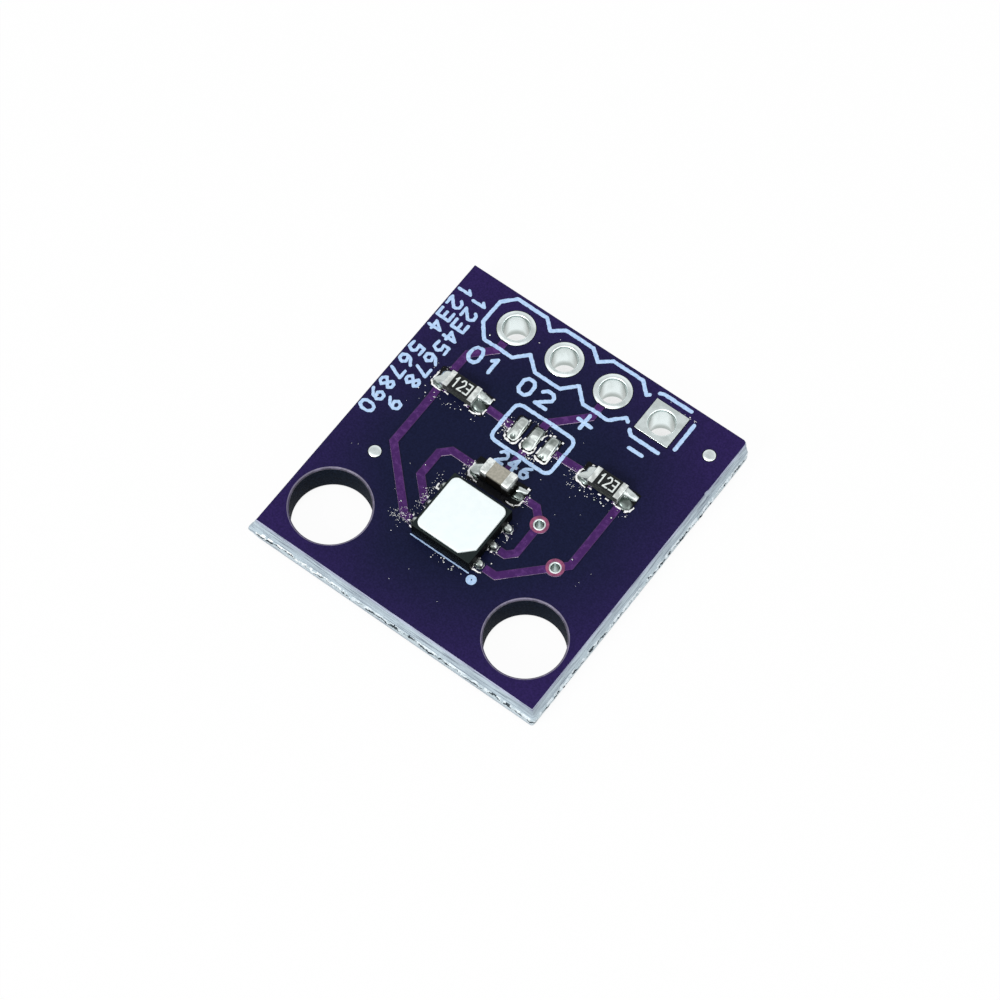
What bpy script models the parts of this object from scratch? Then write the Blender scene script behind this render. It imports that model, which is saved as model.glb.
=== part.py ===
# Humidity and temperature sensor board with a four-hole header row and two mounting holes.
# Sizes are in millimetres and meshes are written in metres, Z up. X runs along the edge with the
# mounting holes, Y points from them to the header row, and the origin is the point under the
# middle of the board on the surface that it lies on.

import math
import random

import bmesh
import bpy
from mathutils import Vector
from mathutils.geometry import delaunay_2d_cdt

MM = 0.001  # metres in a millimetre

# Clearance between two pieces that touch on the real board
SEAT = 0.005

# Board, snapped out of a panel along scored lines
BOARD_WIDTH = 14.27  # top face, along the edge with the mounting holes
BOARD_LENGTH = 15.08  # top face, from that edge to the one with the header row
BOARD_THICKNESS = 1.6
SCORE_DEPTH = 0.56  # depth of the score from each face
SCORE_ANGLE = 18.0  # slope of a scored wall, in degrees from the vertical
SCORE_SHIFT = 0.07  # how far the lower scores lie outside the upper ones
SCORE_LOWER = 0.75  # run of a lower scored wall, as a share of an upper one
BREAK_REACH = 0.12  # how far broken laminate stands past the scored walls
BREAK_FOOT = 0.3  # share of that reach at the foot of a scored wall
BREAK_STEPS = 28  # points along one broken edge
BREAK_WAVES = 9
BREAK_RATES = (3, 26)  # slowest and fastest wave along an edge
BREAK_SEED = 7
CUTTER_PAST = 0.2  # how far a cutter runs past the face that it opens

# Mounting holes beside the front edge
MOUNT_HOLE_DIAMETER = 3.48
MOUNT_HOLE_CHAMFER = 0.09
MOUNT_HOLE_SIDE = 2.095  # from a side edge to the hole's centre
MOUNT_HOLE_FRONT = 2.33  # from the front edge to the hole's centre
MOUNT_HOLE_SEGMENTS = 48

# Header row of plated holes beside the back edge, on the standard pin pitch
HEADER_PITCH = 2.54
HEADER_BACK = 1.42  # from the back edge to the row
HEADER_SHIFT = -0.046  # the printed artwork sits this far off the board's middle
HEADER_PAD = 1.68  # diameter of a round pad and side of the square one
HEADER_HOLE = 1.16
PLATING = 0.04  # wall of a plated barrel
PAD_HEIGHT = 0.05  # tinned pad above the board's face
LIP = 0.05  # rounded mouth of a plated hole
LIP_STRETCH = 2.0  # depth of that mouth, in its own widths
HEADER_SEGMENTS = 32

# Copper under the mask, both faces
COPPER = 0.04
TRACK = 0.37
CLOCK_BEND = 1.32  # from the header row to a track's first bend
SUPPLY_BEND = 1.53
UNDER_BEND = 1.60
CLOCK_SHIFT = 0.04  # from the pull-up's land to the middle of the track beside it
DATA_SHIFT = -0.05
SUPPLY_REACH = 1.93  # from the capacitor's land out to the supply track
SUPPLY_CORNER = 0.40  # slanted corners, by their size along X
GROUND_CORNER = 0.32
CLOCK_ENTRY = 0.72  # straight end of a track at its sensor contact
SUPPLY_ENTRY = 0.43

# Vias, with their places from the middle of the header row
VIA_PAD = 0.84  # masked copper round the barrel, part of its tracks
VIA_RIM = 0.64  # tinned rim of the barrel
VIA_HOLE = 0.38
VIA_HEIGHT = 0.045
VIA_SEGMENTS = 24
GROUND_VIA = (2.50, -6.86)
DATA_VIA = (4.19, -8.05)

# Tinned marks for the placing machine
MARK_DIAMETER = 0.56
MARK_HEIGHT = 0.045
MARK_SEGMENTS = 24
BACK_MARK = (6.28, -0.04)
LEFT_MARK = (-5.07, -8.22)

# Chip resistors
RESISTOR_LENGTH = 1.55
RESISTOR_WIDTH = 0.80
RESISTOR_HEIGHT = 0.45
RESISTOR_ROW = -3.79
RESISTOR_LEFT = -3.83
RESISTOR_RIGHT = 3.76
END_PLATE = 0.03  # thickness of a chip's plated end
END_ROUND = 0.6  # cut corner of that end, as a share of its thickness
END_STRIP = 0.25  # how far a resistor's plated end comes over its top
COAT = 0.045
COAT_ROUND = 0.3  # rounding of the coat, as a share of its thickness
COAT_GAP = 0.02

# Chip capacitor
CAPACITOR_LENGTH = 1.50
CAPACITOR_WIDTH = 0.78
CAPACITOR_HEIGHT = 0.85
CAPACITOR_BAND = 0.35
CAPACITOR_CORNER = 0.07
CAPACITOR_EDGE = 0.06  # rounding of an end cap towards its end
CAPACITOR_LIP = 0.01  # the same at its mouth
CERAMIC_EDGE = 0.03
CAPACITOR_PLACE = (-0.035, -6.28)

# Solder lands of the chips and their fillets
LAND_TOE = 0.56  # land beyond the end of a chip
LAND_HEEL = 0.25  # land under the end of a chip
LAND_WIDTH = 0.98
RESISTOR_CLIMB = 0.37  # height of the solder at a resistor's end
CAPACITOR_CLIMB = 0.42
SOLDER_TOE = 0.03  # height of the solder at its toe
SOLDER_SAG = 1.8  # power of its fall from the chip to the toe
SOLDER_SQUARE = 0.7  # power of its section: 1 is oval, and less is squarer
SOLDER_TAPER = 0.3  # share of its width that is lost at the toe
SOLDER_TAPER_POWER = 5
SOLDER_SECTIONS = 9
SOLDER_STEPS = 8  # points across one section

# Three solder pads of the pull-up jumper
JUMPER_PLACE = (-0.06, -3.86)
JUMPER_PITCH = 0.80
JUMPER_LAND_WIDTH = 0.60
JUMPER_LAND_LENGTH = 1.30
JUMPER_SOLDER = 0.18
JUMPER_INSET = 0.01  # from a land's edge to its solder
JUMPER_CORNER = 0.16

# Sensor package with its filter cover
SENSOR_PLACE = (-0.044, -8.81)
SENSOR_SIDE = 3.0
SENSOR_HEIGHT = 0.75
SENSOR_EDGE = 0.03
CONTACT_PITCH = 1.0
CONTACT_WIDTH = 0.40
CONTACT_DEPTH = 0.35
CONTACT_HEIGHT = 0.20
CONTACT_TOE = 0.40  # land beyond the package
CONTACT_LAND = 0.50
CONTACT_CLIMB = 0.24
THERMAL_LENGTH = 2.4
THERMAL_WIDTH = 1.5
THERMAL_HEIGHT = 0.20
WINDOW_SIDE = 1.1  # opening over the sensing chip
WINDOW_DEPTH = 0.40
CHIP_SIDE = 0.90
CHIP_HEIGHT = 0.20
COVER_INSET = 0.12
COVER_HEIGHT = 0.12
COVER_RADIUS = 0.30
COVER_CHAMFER = 0.54
COVER_EDGE = 0.03

# Distance of the middle of a quarter circle from its corner, in radii
ARC_MIDDLE = 1 - math.sqrt(0.5)

# Places that follow from the sizes above
board_bottom = PAD_HEIGHT + SEAT
board_top = board_bottom + BOARD_THICKNESS
copper_bottom = board_top + SEAT
copper_top = copper_bottom + COPPER
parts_bottom = copper_top + SEAT
header_row = BOARD_LENGTH / 2 - HEADER_BACK


def on_art(place):
    """Board coordinates of a place given from the middle of the header row."""
    return place[0] + HEADER_SHIFT, place[1] + header_row


def header_place(index):
    """Centre of a header hole, counted from the left."""
    return (index - 1.5) * HEADER_PITCH + HEADER_SHIFT, header_row


# Meshes

def clear_scene():
    for item in list(bpy.data.objects):
        bpy.data.objects.remove(item, do_unlink=True)


def add_object(name, points, faces, material=None, smooth=None):
    """An object from points in millimetres, with its faces turned outwards."""
    mesh = bpy.data.meshes.new(name)
    mesh.from_pydata([Vector(p) * MM for p in points], [], faces)
    work = bmesh.new()
    work.from_mesh(mesh)
    bmesh.ops.recalc_face_normals(work, faces=work.faces)
    work.to_mesh(mesh)
    work.free()
    if smooth is not None:
        mesh.shade_smooth()
        mesh.set_sharp_from_angle(angle=math.radians(smooth))
    if material is not None:
        mesh.materials.append(material)
    item = bpy.data.objects.new(name, mesh)
    bpy.context.scene.collection.objects.link(item)
    return item


def loft(rings, loop=False):
    """Skin over equal rings of points, capped, or with the last ring joined to the first."""
    count = len(rings[0])
    points = [p for ring in rings for p in ring]
    faces = []
    for r in range(len(rings) if loop else len(rings) - 1):
        a = r * count
        b = (r + 1) % len(rings) * count
        for i in range(count):
            j = (i + 1) % count
            faces.append((a + i, a + j, b + j, b + i))
    if not loop:
        faces.append(tuple(range(count - 1, -1, -1)))
        faces.append(tuple(range(len(points) - count, len(points))))
    return points, faces


def circle(centre, radius, z, segments, square=False):
    """Ring of points round a centre, on a circle or on a square of that half side."""
    ring = []
    for i in range(segments):
        angle = 2 * math.pi * i / segments
        x, y = math.cos(angle), math.sin(angle)
        reach = radius / max(abs(x), abs(y)) if square else radius
        ring.append((centre[0] + x * reach, centre[1] + y * reach, z))
    return ring


def rounded_rectangle(width, height, radii, steps=3):
    """Outline round the origin; the radii start at the corner with both coordinates positive."""
    outline = []
    for corner in range(4):
        sign_x = (1, -1, -1, 1)[corner]
        sign_y = (1, 1, -1, -1)[corner]
        radius = radii[corner]
        centre = (sign_x * (width / 2 - radius), sign_y * (height / 2 - radius))
        for step in range(steps + 1):
            angle = math.pi / 2 * (corner + step / steps)
            x = centre[0] + radius * math.cos(angle)
            y = centre[1] + radius * math.sin(angle)
            outline.append((x, y))
    return outline


def rectangle(centre, width, height):
    x, y = centre
    w, h = width / 2, height / 2
    return [(x - w, y - h), (x + w, y - h), (x + w, y + h), (x - w, y + h)]


def box(low, high):
    """Points and faces of a plain box."""
    centre = (low[0] + high[0]) / 2, (low[1] + high[1]) / 2
    outline = rectangle(centre, high[0] - low[0], high[1] - low[1])
    return loft([[(x, y, z) for x, y in outline] for z in (low[2], high[2])])


def joined(shapes):
    """Points and faces of several separate shapes in one list."""
    points, faces = [], []
    for more_points, more_faces in shapes:
        start = len(points)
        points += more_points
        faces += [tuple(start + i for i in face) for face in more_faces]
    return points, faces


def inside(point, outline):
    """Whether a point lies inside a closed outline."""
    found = False
    for i, a in enumerate(outline):
        b = outline[i - 1]
        if (a[1] > point[1]) != (b[1] > point[1]):
            if point[0] < a[0] + (b[0] - a[0]) * (point[1] - a[1]) / (b[1] - a[1]):
                found = not found
    return found


def slab(outlines, holes, low, high):
    """A flat plate that covers every outline, less the holes."""
    points, loops = [], []
    for outline in [*outlines, *holes]:
        loops.append(list(range(len(points), len(points) + len(outline))))
        points += [Vector(p[:2]) for p in outline]
    flat, _, triangles, *_ = delaunay_2d_cdt(points, [], loops, 1, 1e-6)
    kept = []
    for triangle in triangles:
        middle = sum((flat[i] for i in triangle), Vector((0, 0))) / 3
        if any(inside(middle, hole) for hole in holes):
            continue
        if any(inside(middle, outline) for outline in outlines):
            kept.append(triangle)
    used = sorted({i for triangle in kept for i in triangle})
    place = {old: new for new, old in enumerate(used)}
    kept = [tuple(place[i] for i in triangle) for triangle in kept]
    count = len(used)
    solid_points = [(flat[i].x, flat[i].y, z) for z in (low, high) for i in used]
    faces = [tuple(reversed(triangle)) for triangle in kept]
    faces += [tuple(i + count for i in triangle) for triangle in kept]
    edges = {(t[k], t[(k + 1) % 3]) for t in kept for k in range(3)}
    for a, b in sorted(edges):
        if (b, a) not in edges:
            faces.append((a, b, b + count, a + count))
    return solid_points, faces


def track_outline(route, width=TRACK):
    """Outline of a track along a route, with mitred bends and square ends."""
    left, right = [], []
    for i, point in enumerate(route):
        here = Vector(point)
        before = (here - Vector(route[i - 1])).normalized() if i else None
        after = (Vector(route[i + 1]) - here).normalized() if i + 1 < len(route) else None
        before = before or after
        after = after or before
        along = (before + after).normalized()
        side = Vector((-along.y, along.x)) * (width / 2 / along.dot(before))
        left.append(tuple(here + side))
        right.append(tuple(here - side))
    return left + right[::-1]


def add_cutter(name, shape):
    cutter = add_object(name, *shape)
    cutter.hide_render = True
    cutter.display_type = "WIRE"
    return cutter


def cut(item, cutter):
    boolean = item.modifiers.new(cutter.name, "BOOLEAN")
    boolean.operation = "DIFFERENCE"
    boolean.solver = "EXACT"
    boolean.object = cutter


def round_edges(item, width, segments=2):
    bevel = item.modifiers.new("rounded edges", "BEVEL")
    bevel.width = width * MM
    bevel.segments = segments
    bevel.limit_method = "ANGLE"
    bevel.angle_limit = math.radians(40)


# Materials

def material(name, colour, roughness, metallic=0.0):
    made = bpy.data.materials.new(name)
    made.use_nodes = True
    shader = made.node_tree.nodes["Principled BSDF"]
    shader.inputs["Base Color"].default_value = (*colour, 1.0)
    shader.inputs["Roughness"].default_value = roughness
    shader.inputs["Metallic"].default_value = metallic
    made.diffuse_color = (*colour, 1.0)
    return made


def make_materials():
    return {
        "mask": material("purple solder mask", (0.019, 0.014, 0.070), 0.35),
        "copper": material("masked copper", (0.065, 0.012, 0.110), 0.35),
        "tin": material("tinned pad", (0.78, 0.80, 0.78), 0.28, 1.0),
        "solder": material("solder", (0.72, 0.74, 0.72), 0.22, 1.0),
        "plate": material("plated chip end", (0.80, 0.82, 0.80), 0.32, 1.0),
        "alumina": material("alumina", (0.78, 0.77, 0.72), 0.6),
        "coat": material("black resistor coat", (0.015, 0.016, 0.016), 0.4),
        "ceramic": material("capacitor ceramic", (0.38, 0.33, 0.27), 0.5),
        "package": material("moulded package", (0.016, 0.018, 0.020), 0.5),
        "cover": material("white filter cover", (0.86, 0.90, 0.90), 0.45),
        "silicon": material("sensing chip", (0.10, 0.11, 0.14), 0.2),
    }


# Board

def break_line(seed):
    """Reach of the broken laminate along one edge, from 0 to 1, dying out at the corners."""
    draw = random.Random(seed)
    heights = [0.0] * BREAK_STEPS
    for _ in range(BREAK_WAVES):
        rate = draw.uniform(*BREAK_RATES)
        phase = draw.uniform(0, 2 * math.pi)
        size = draw.uniform(0.4, 1.0)
        for i in range(BREAK_STEPS):
            heights[i] += size * math.sin(2 * math.pi * rate * i / BREAK_STEPS + phase)
    low, high = min(heights), max(heights)
    return [(h - low) / (high - low) if i else 0.0 for i, h in enumerate(heights)]


def board_ring(z, offset, reach, seed):
    """Outline of the board at one level, pushed out by an offset and by the broken edge."""
    corners = [(-1, -1), (1, -1), (1, 1), (-1, 1)]
    ring = []
    for side in range(4):
        start, end = corners[side], corners[(side + 1) % 4]
        outward = Vector((end[1] - start[1], start[0] - end[0])) / 2
        heights = break_line(BREAK_SEED + 10 * side + seed)
        for i in range(BREAK_STEPS):
            s = i / BREAK_STEPS
            x = (start[0] + (end[0] - start[0]) * s) * (BOARD_WIDTH / 2 + offset)
            y = (start[1] + (end[1] - start[1]) * s) * (BOARD_LENGTH / 2 + offset)
            push = outward * reach * heights[i]
            ring.append((x + push.x, y + push.y, z))
    return ring


def build_board(materials):
    """Laminate with scored and broken edges, drilled for the header, the vias and two screws."""
    run = SCORE_DEPTH * math.tan(math.radians(SCORE_ANGLE))
    upper = board_top - SCORE_DEPTH
    lower = board_bottom + SCORE_DEPTH
    middle = (upper + lower) / 2
    foot = BREAK_REACH * BREAK_FOOT
    rings = [
        board_ring(board_bottom, SCORE_SHIFT, 0.0, 0),
        board_ring(lower, SCORE_SHIFT + run * SCORE_LOWER, foot, 1),
        board_ring(middle, run, BREAK_REACH, 2),
        board_ring(upper, run, foot, 3),
        board_ring(board_top, 0.0, 0.0, 4),
    ]
    board = add_object("circuit_board", *loft(rings), materials["mask"])
    cutters = []
    for name, side in (("left", -1), ("right", 1)):
        centre = (side * (BOARD_WIDTH / 2 - MOUNT_HOLE_SIDE), MOUNT_HOLE_FRONT - BOARD_LENGTH / 2)
        cutters.append(add_cutter(f"mounting_hole_cutter_{name}", mounting_hole_shape(centre)))
    barrels = [(header_place(i), HEADER_HOLE, HEADER_SEGMENTS) for i in range(4)]
    barrels += [(on_art(place), VIA_HOLE, VIA_SEGMENTS) for place in (GROUND_VIA, DATA_VIA)]
    levels = board_bottom - CUTTER_PAST, board_top + CUTTER_PAST
    for index, (centre, hole, segments) in enumerate(barrels):
        radius = hole / 2 + PLATING + SEAT
        ends = [circle(centre, radius, z, segments) for z in levels]
        cutters.append(add_cutter(f"barrel_hole_cutter_{index + 1}", loft(ends)))
    for cutter in cutters:
        cut(board, cutter)


def mounting_hole_shape(centre):
    """A drill with a chamfer at each face of the board."""
    radius = MOUNT_HOLE_DIAMETER / 2
    mouth = radius + MOUNT_HOLE_CHAMFER
    levels = [
        (board_bottom - CUTTER_PAST, mouth),
        (board_bottom, mouth),
        (board_bottom + MOUNT_HOLE_CHAMFER, radius),
        (board_top - MOUNT_HOLE_CHAMFER, radius),
        (board_top, mouth),
        (board_top + CUTTER_PAST, mouth),
    ]
    return loft([circle(centre, reach, z, MOUNT_HOLE_SEGMENTS) for z, reach in levels])


# Plated holes and marks

def eyelet_shape(centre, pad, hole, height, segments, square=False):
    """A plated barrel with a pad on each face and rounded mouths."""
    inner, outer = hole / 2, pad / 2
    barrel = inner + PLATING
    lip = min(LIP, PLATING + (outer - barrel) / 2)
    depth = lip * LIP_STRETCH
    edge = height / 2
    low, high = board_bottom - SEAT - height, board_top + SEAT + height
    profile = [
        (inner, low + depth, False),
        (inner + ARC_MIDDLE * lip, low + ARC_MIDDLE * depth, False),
        (inner + lip, low, False),
        (outer - edge, low, square),
        (outer, low + edge, square),
        (outer, board_bottom - SEAT, square),
        (barrel, board_bottom - SEAT, False),
        (barrel, board_top + SEAT, False),
        (outer, board_top + SEAT, square),
        (outer, high - edge, square),
        (outer - edge, high, square),
        (inner + lip, high, False),
        (inner + ARC_MIDDLE * lip, high - ARC_MIDDLE * depth, False),
        (inner, high - depth, False),
    ]
    return loft([circle(centre, r, z, segments, flat) for r, z, flat in profile], loop=True)


def build_header(materials):
    for index, name in enumerate(("clock", "data", "supply", "ground")):
        centre = header_place(index)
        square = name == "ground"
        shape = eyelet_shape(centre, HEADER_PAD, HEADER_HOLE, PAD_HEIGHT, HEADER_SEGMENTS, square)
        add_object(f"header_eyelet_{name}", *shape, materials["tin"], smooth=35)


def build_vias(materials):
    for name, place in (("ground", GROUND_VIA), ("data", DATA_VIA)):
        shape = eyelet_shape(on_art(place), VIA_RIM, VIA_HOLE, VIA_HEIGHT, VIA_SEGMENTS)
        add_object(f"via_eyelet_{name}", *shape, materials["tin"], smooth=35)


def dome(centre, outline, low, height, levels):
    """Rings of an outline that closes in as it rises; a level is a share of the height and of the size."""
    rings = []
    for rise, size in levels:
        rings.append([(centre[0] + x * size, centre[1] + y * size, low + height * rise) for x, y in outline])
    return loft(rings)


def build_marks(materials):
    outline = [p[:2] for p in circle((0, 0), MARK_DIAMETER / 2, 0, MARK_SEGMENTS)]
    levels = ((0, 1.0), (0.5, 0.97), (0.85, 0.85), (1.0, 0.6))
    for name, place in (("back", BACK_MARK), ("left", LEFT_MARK)):
        shape = dome(on_art(place), outline, board_top + SEAT, MARK_HEIGHT, levels)
        add_object(f"placing_mark_{name}", *shape, materials["tin"], smooth=50)


# Copper

def chip_lands(centre, length):
    """Centres of the left and right land of a chip, and their length along X."""
    reach = length / 2 + (LAND_TOE - LAND_HEEL) / 2
    return (centre[0] - reach, centre[1]), (centre[0] + reach, centre[1]), LAND_TOE + LAND_HEEL


def contact_land(number):
    """Centre of the land under a sensor contact, which are counted round from the front right one."""
    side = 1 if number <= 3 else -1
    row = number - 2 if number <= 3 else 5 - number
    x, y = on_art(SENSOR_PLACE)
    reach = SENSOR_SIDE / 2 + (CONTACT_TOE - CONTACT_DEPTH) / 2
    return x + side * reach, y + row * CONTACT_PITCH


def contact_outline(number):
    return rectangle(contact_land(number), CONTACT_TOE + CONTACT_DEPTH, CONTACT_LAND)


def jumper_land(index):
    """Centre of a jumper land, with -1, 0 and 1 from the left."""
    x, y = on_art(JUMPER_PLACE)
    return x + index * JUMPER_PITCH, y


def jumper_outline(index):
    return rectangle(jumper_land(index), JUMPER_LAND_WIDTH, JUMPER_LAND_LENGTH)


def pad_clearance(centre, pad, segments, square=False):
    """Hole in a track round a pad that it meets."""
    return [p[:2] for p in circle(centre, pad / 2 + SEAT, 0, segments, square)]


def via_outline(centre):
    return [p[:2] for p in circle(centre, VIA_PAD / 2, 0, VIA_SEGMENTS)]


def add_copper(name, materials, outlines, holes=(), low=copper_bottom):
    shape = slab(outlines, holes, low, low + COPPER)
    add_object(name, *shape, materials["copper"])


def build_copper(materials):
    """Tracks and lands, one piece for each stretch of copper on the top face."""
    left_a, left_b, land_length = chip_lands(on_art((RESISTOR_LEFT, RESISTOR_ROW)), RESISTOR_LENGTH)
    right_a, right_b, _ = chip_lands(on_art((RESISTOR_RIGHT, RESISTOR_ROW)), RESISTOR_LENGTH)
    cap_a, cap_b, cap_land_length = chip_lands(on_art(CAPACITOR_PLACE), CAPACITOR_LENGTH)
    ground_via, data_via = on_art(GROUND_VIA), on_art(DATA_VIA)

    # Clock: header hole 1, left pull-up, sensor contact 6
    pad = header_place(0)
    end = contact_land(6)
    column = left_a[0] + CLOCK_SHIFT
    bend = pad[1] - CLOCK_BEND
    turn = end[0] - CLOCK_ENTRY - column
    route = [pad, (pad[0], bend), (column, bend + column - pad[0]), left_a]
    second = [left_a, (left_a[0], left_a[1] - LAND_WIDTH / 2), (column, left_a[1] - LAND_WIDTH)]
    second += [(column, end[1] + turn), (column + turn, end[1]), end]
    add_copper(
        "track_clock", materials,
        [
            track_outline(route), track_outline(second), contact_outline(6),
            rectangle(left_a, land_length, LAND_WIDTH),
        ],
        [pad_clearance(pad, HEADER_PAD, HEADER_SEGMENTS)],
    )

    # Supply: header hole 3, middle jumper land, capacitor, sensor contact 5
    pad = header_place(2)
    bridge = jumper_land(0)
    end = contact_land(5)
    column = cap_a[0] - SUPPLY_REACH
    bend = pad[1] - SUPPLY_BEND
    corner = SUPPLY_CORNER
    turn = end[0] - SUPPLY_ENTRY - column
    route = [pad, (pad[0], bend), (bridge[0], bend + bridge[0] - pad[0]), bridge]
    route += [(bridge[0], cap_a[1]), cap_a]
    second = [cap_a, (column + corner, cap_a[1]), (column, cap_a[1] - corner), (column, end[1] + turn)]
    second += [(column + turn, end[1]), end]
    add_copper(
        "track_supply", materials,
        [
            track_outline(route), track_outline(second), jumper_outline(0),
            rectangle(cap_a, cap_land_length, LAND_WIDTH), contact_outline(5),
        ],
        [pad_clearance(pad, HEADER_PAD, HEADER_SEGMENTS)],
    )

    # Pull-up links from the resistors to the jumper
    for name, land, bridge_land in (("left", left_b, -1), ("right", right_a, 1)):
        route = [land, jumper_land(bridge_land)]
        add_copper(
            f"track_pullup_{name}", materials,
            [track_outline(route), rectangle(land, land_length, LAND_WIDTH), jumper_outline(bridge_land)],
        )

    # Ground: capacitor, via, sensor contact 2
    end = contact_land(2)
    slope = cap_b[1] - ground_via[1]
    route = [cap_b, (ground_via[0] - slope, cap_b[1]), ground_via]
    corner = GROUND_CORNER
    second = [ground_via, (ground_via[0], end[1] + corner), (ground_via[0] - corner, end[1]), end]
    add_copper(
        "track_ground", materials,
        [
            track_outline(route), track_outline(second), via_outline(ground_via),
            rectangle(cap_b, cap_land_length, LAND_WIDTH), contact_outline(2),
        ],
        [pad_clearance(ground_via, VIA_RIM, VIA_SEGMENTS)],
    )

    # Data: sensor contact 1, via, right pull-up
    end = contact_land(1)
    slope = data_via[1] - end[1]
    column = right_b[0] + DATA_SHIFT
    step = column - data_via[0]
    route = [end, (data_via[0] - slope, end[1]), data_via]
    second = [data_via, (column, data_via[1] + step), (column, right_b[1])]
    add_copper(
        "track_data", materials,
        [
            track_outline(route), track_outline(second), via_outline(data_via),
            rectangle(right_b, land_length, LAND_WIDTH), contact_outline(1),
        ],
        [pad_clearance(data_via, VIA_RIM, VIA_SEGMENTS)],
    )

    for name, number in (("right", 3), ("left", 4)):
        add_copper(f"spare_land_{name}", materials, [contact_outline(number)])


def build_under_tracks(materials):
    """The two links on the under face that take the vias to their header holes."""
    low = board_bottom - SEAT - COPPER
    pad, via = header_place(3), on_art(GROUND_VIA)
    bend = pad[1] - UNDER_BEND
    route = [via, (via[0], bend + via[0] - pad[0]), (pad[0], bend), pad]
    holes = [
        pad_clearance(pad, HEADER_PAD, HEADER_SEGMENTS, square=True),
        pad_clearance(via, VIA_RIM, VIA_SEGMENTS),
    ]
    add_copper("under_track_ground", materials, [track_outline(route), via_outline(via)], holes, low)

    pad, via = header_place(1), on_art(DATA_VIA)
    route = [via, (pad[0] + UNDER_BEND, via[1]), (pad[0], via[1] + UNDER_BEND), pad]
    holes = [pad_clearance(pad, HEADER_PAD, HEADER_SEGMENTS), pad_clearance(via, VIA_RIM, VIA_SEGMENTS)]
    add_copper("under_track_data", materials, [track_outline(route), via_outline(via)], holes, low)


# Solder

def fillet_shape(face, direction, middle, toe, width, climb):
    """Solder that climbs the end of a chip from its land, highest at the chip."""
    rings = []
    for i in range(SOLDER_SECTIONS):
        t = i / (SOLDER_SECTIONS - 1)
        x = face + direction * (SEAT + (toe - SEAT) * t)
        height = SOLDER_TOE + (climb - SOLDER_TOE) * (1 - t) ** SOLDER_SAG
        half = width / 2 * (1 - SOLDER_TAPER * t ** SOLDER_TAPER_POWER)
        ring = []
        for step in range(SOLDER_STEPS + 1):
            turn = math.pi * step / SOLDER_STEPS
            across = math.copysign(abs(math.cos(turn)) ** SOLDER_SQUARE, math.cos(turn)) * half
            rise = height * math.sin(turn) ** SOLDER_SQUARE
            ring.append((x, middle + across, parts_bottom + rise))
        rings.append(ring)
    return loft(rings)


def build_jumper_solder(materials):
    width = JUMPER_LAND_WIDTH - 2 * JUMPER_INSET
    length = JUMPER_LAND_LENGTH - 2 * JUMPER_INSET
    outline = rounded_rectangle(width, length, [JUMPER_CORNER] * 4, 4)
    levels = ((0, 1.0), (0.2, 1.0), (0.55, 0.9), (0.85, 0.72), (1.0, 0.45))
    for name, index in (("left", -1), ("middle", 0), ("right", 1)):
        shape = dome(jumper_land(index), outline, parts_bottom, JUMPER_SOLDER, levels)
        add_object(f"jumper_solder_{name}", *shape, materials["solder"], smooth=60)


def add_fillets(name, materials, centre, length, climb):
    """The solder at both ends of a chip."""
    for side, direction in (("left", -1), ("right", 1)):
        face = centre[0] + direction * length / 2
        shape = fillet_shape(face, direction, centre[1], LAND_TOE, LAND_WIDTH, climb)
        add_object(f"{name}_solder_{side}", *shape, materials["solder"], smooth=60)


# Chip resistors and capacitor

def end_clip_outline(length, strip, height):
    """Side view of a plated end that wraps under, up and over the right end of a resistor."""
    out, back = length / 2, length / 2 - strip
    wall = out - END_PLATE
    ease = END_PLATE * END_ROUND
    return [
        (back, 0), (out - ease, 0), (out, ease), (out, height - ease), (out - ease, height), (back, height),
        (back, height - END_PLATE), (wall, height - END_PLATE), (wall, END_PLATE), (back, END_PLATE),
    ]


def build_resistor(name, centre, materials):
    """Alumina block, glazed coat, two wrapped ends and their solder."""
    x, y = centre
    half = RESISTOR_WIDTH / 2
    inner = RESISTOR_LENGTH / 2 - END_PLATE - SEAT
    block_low = parts_bottom + END_PLATE + SEAT
    block_high = parts_bottom + RESISTOR_HEIGHT - END_PLATE - SEAT
    add_object(
        f"{name}_ceramic",
        *box((x - inner, y - half, block_low), (x + inner, y + half, block_high)),
        materials["alumina"],
    )
    coat = RESISTOR_LENGTH / 2 - END_STRIP - COAT_GAP
    coat_item = add_object(
        f"{name}_coat",
        *box((x - coat, y - half, block_high + SEAT), (x + coat, y + half, block_high + SEAT + COAT)),
        materials["coat"],
    )
    round_edges(coat_item, COAT * COAT_ROUND)
    outline = end_clip_outline(RESISTOR_LENGTH, END_STRIP, RESISTOR_HEIGHT)
    for side, direction in (("left", -1), ("right", 1)):
        rings = []
        for across in (-half, half):
            rings.append([(x + direction * u, y + across, parts_bottom + v) for u, v in outline])
        add_object(f"{name}_end_{side}", *loft(rings), materials["plate"])
    add_fillets(name, materials, centre, RESISTOR_LENGTH, RESISTOR_CLIMB)


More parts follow.
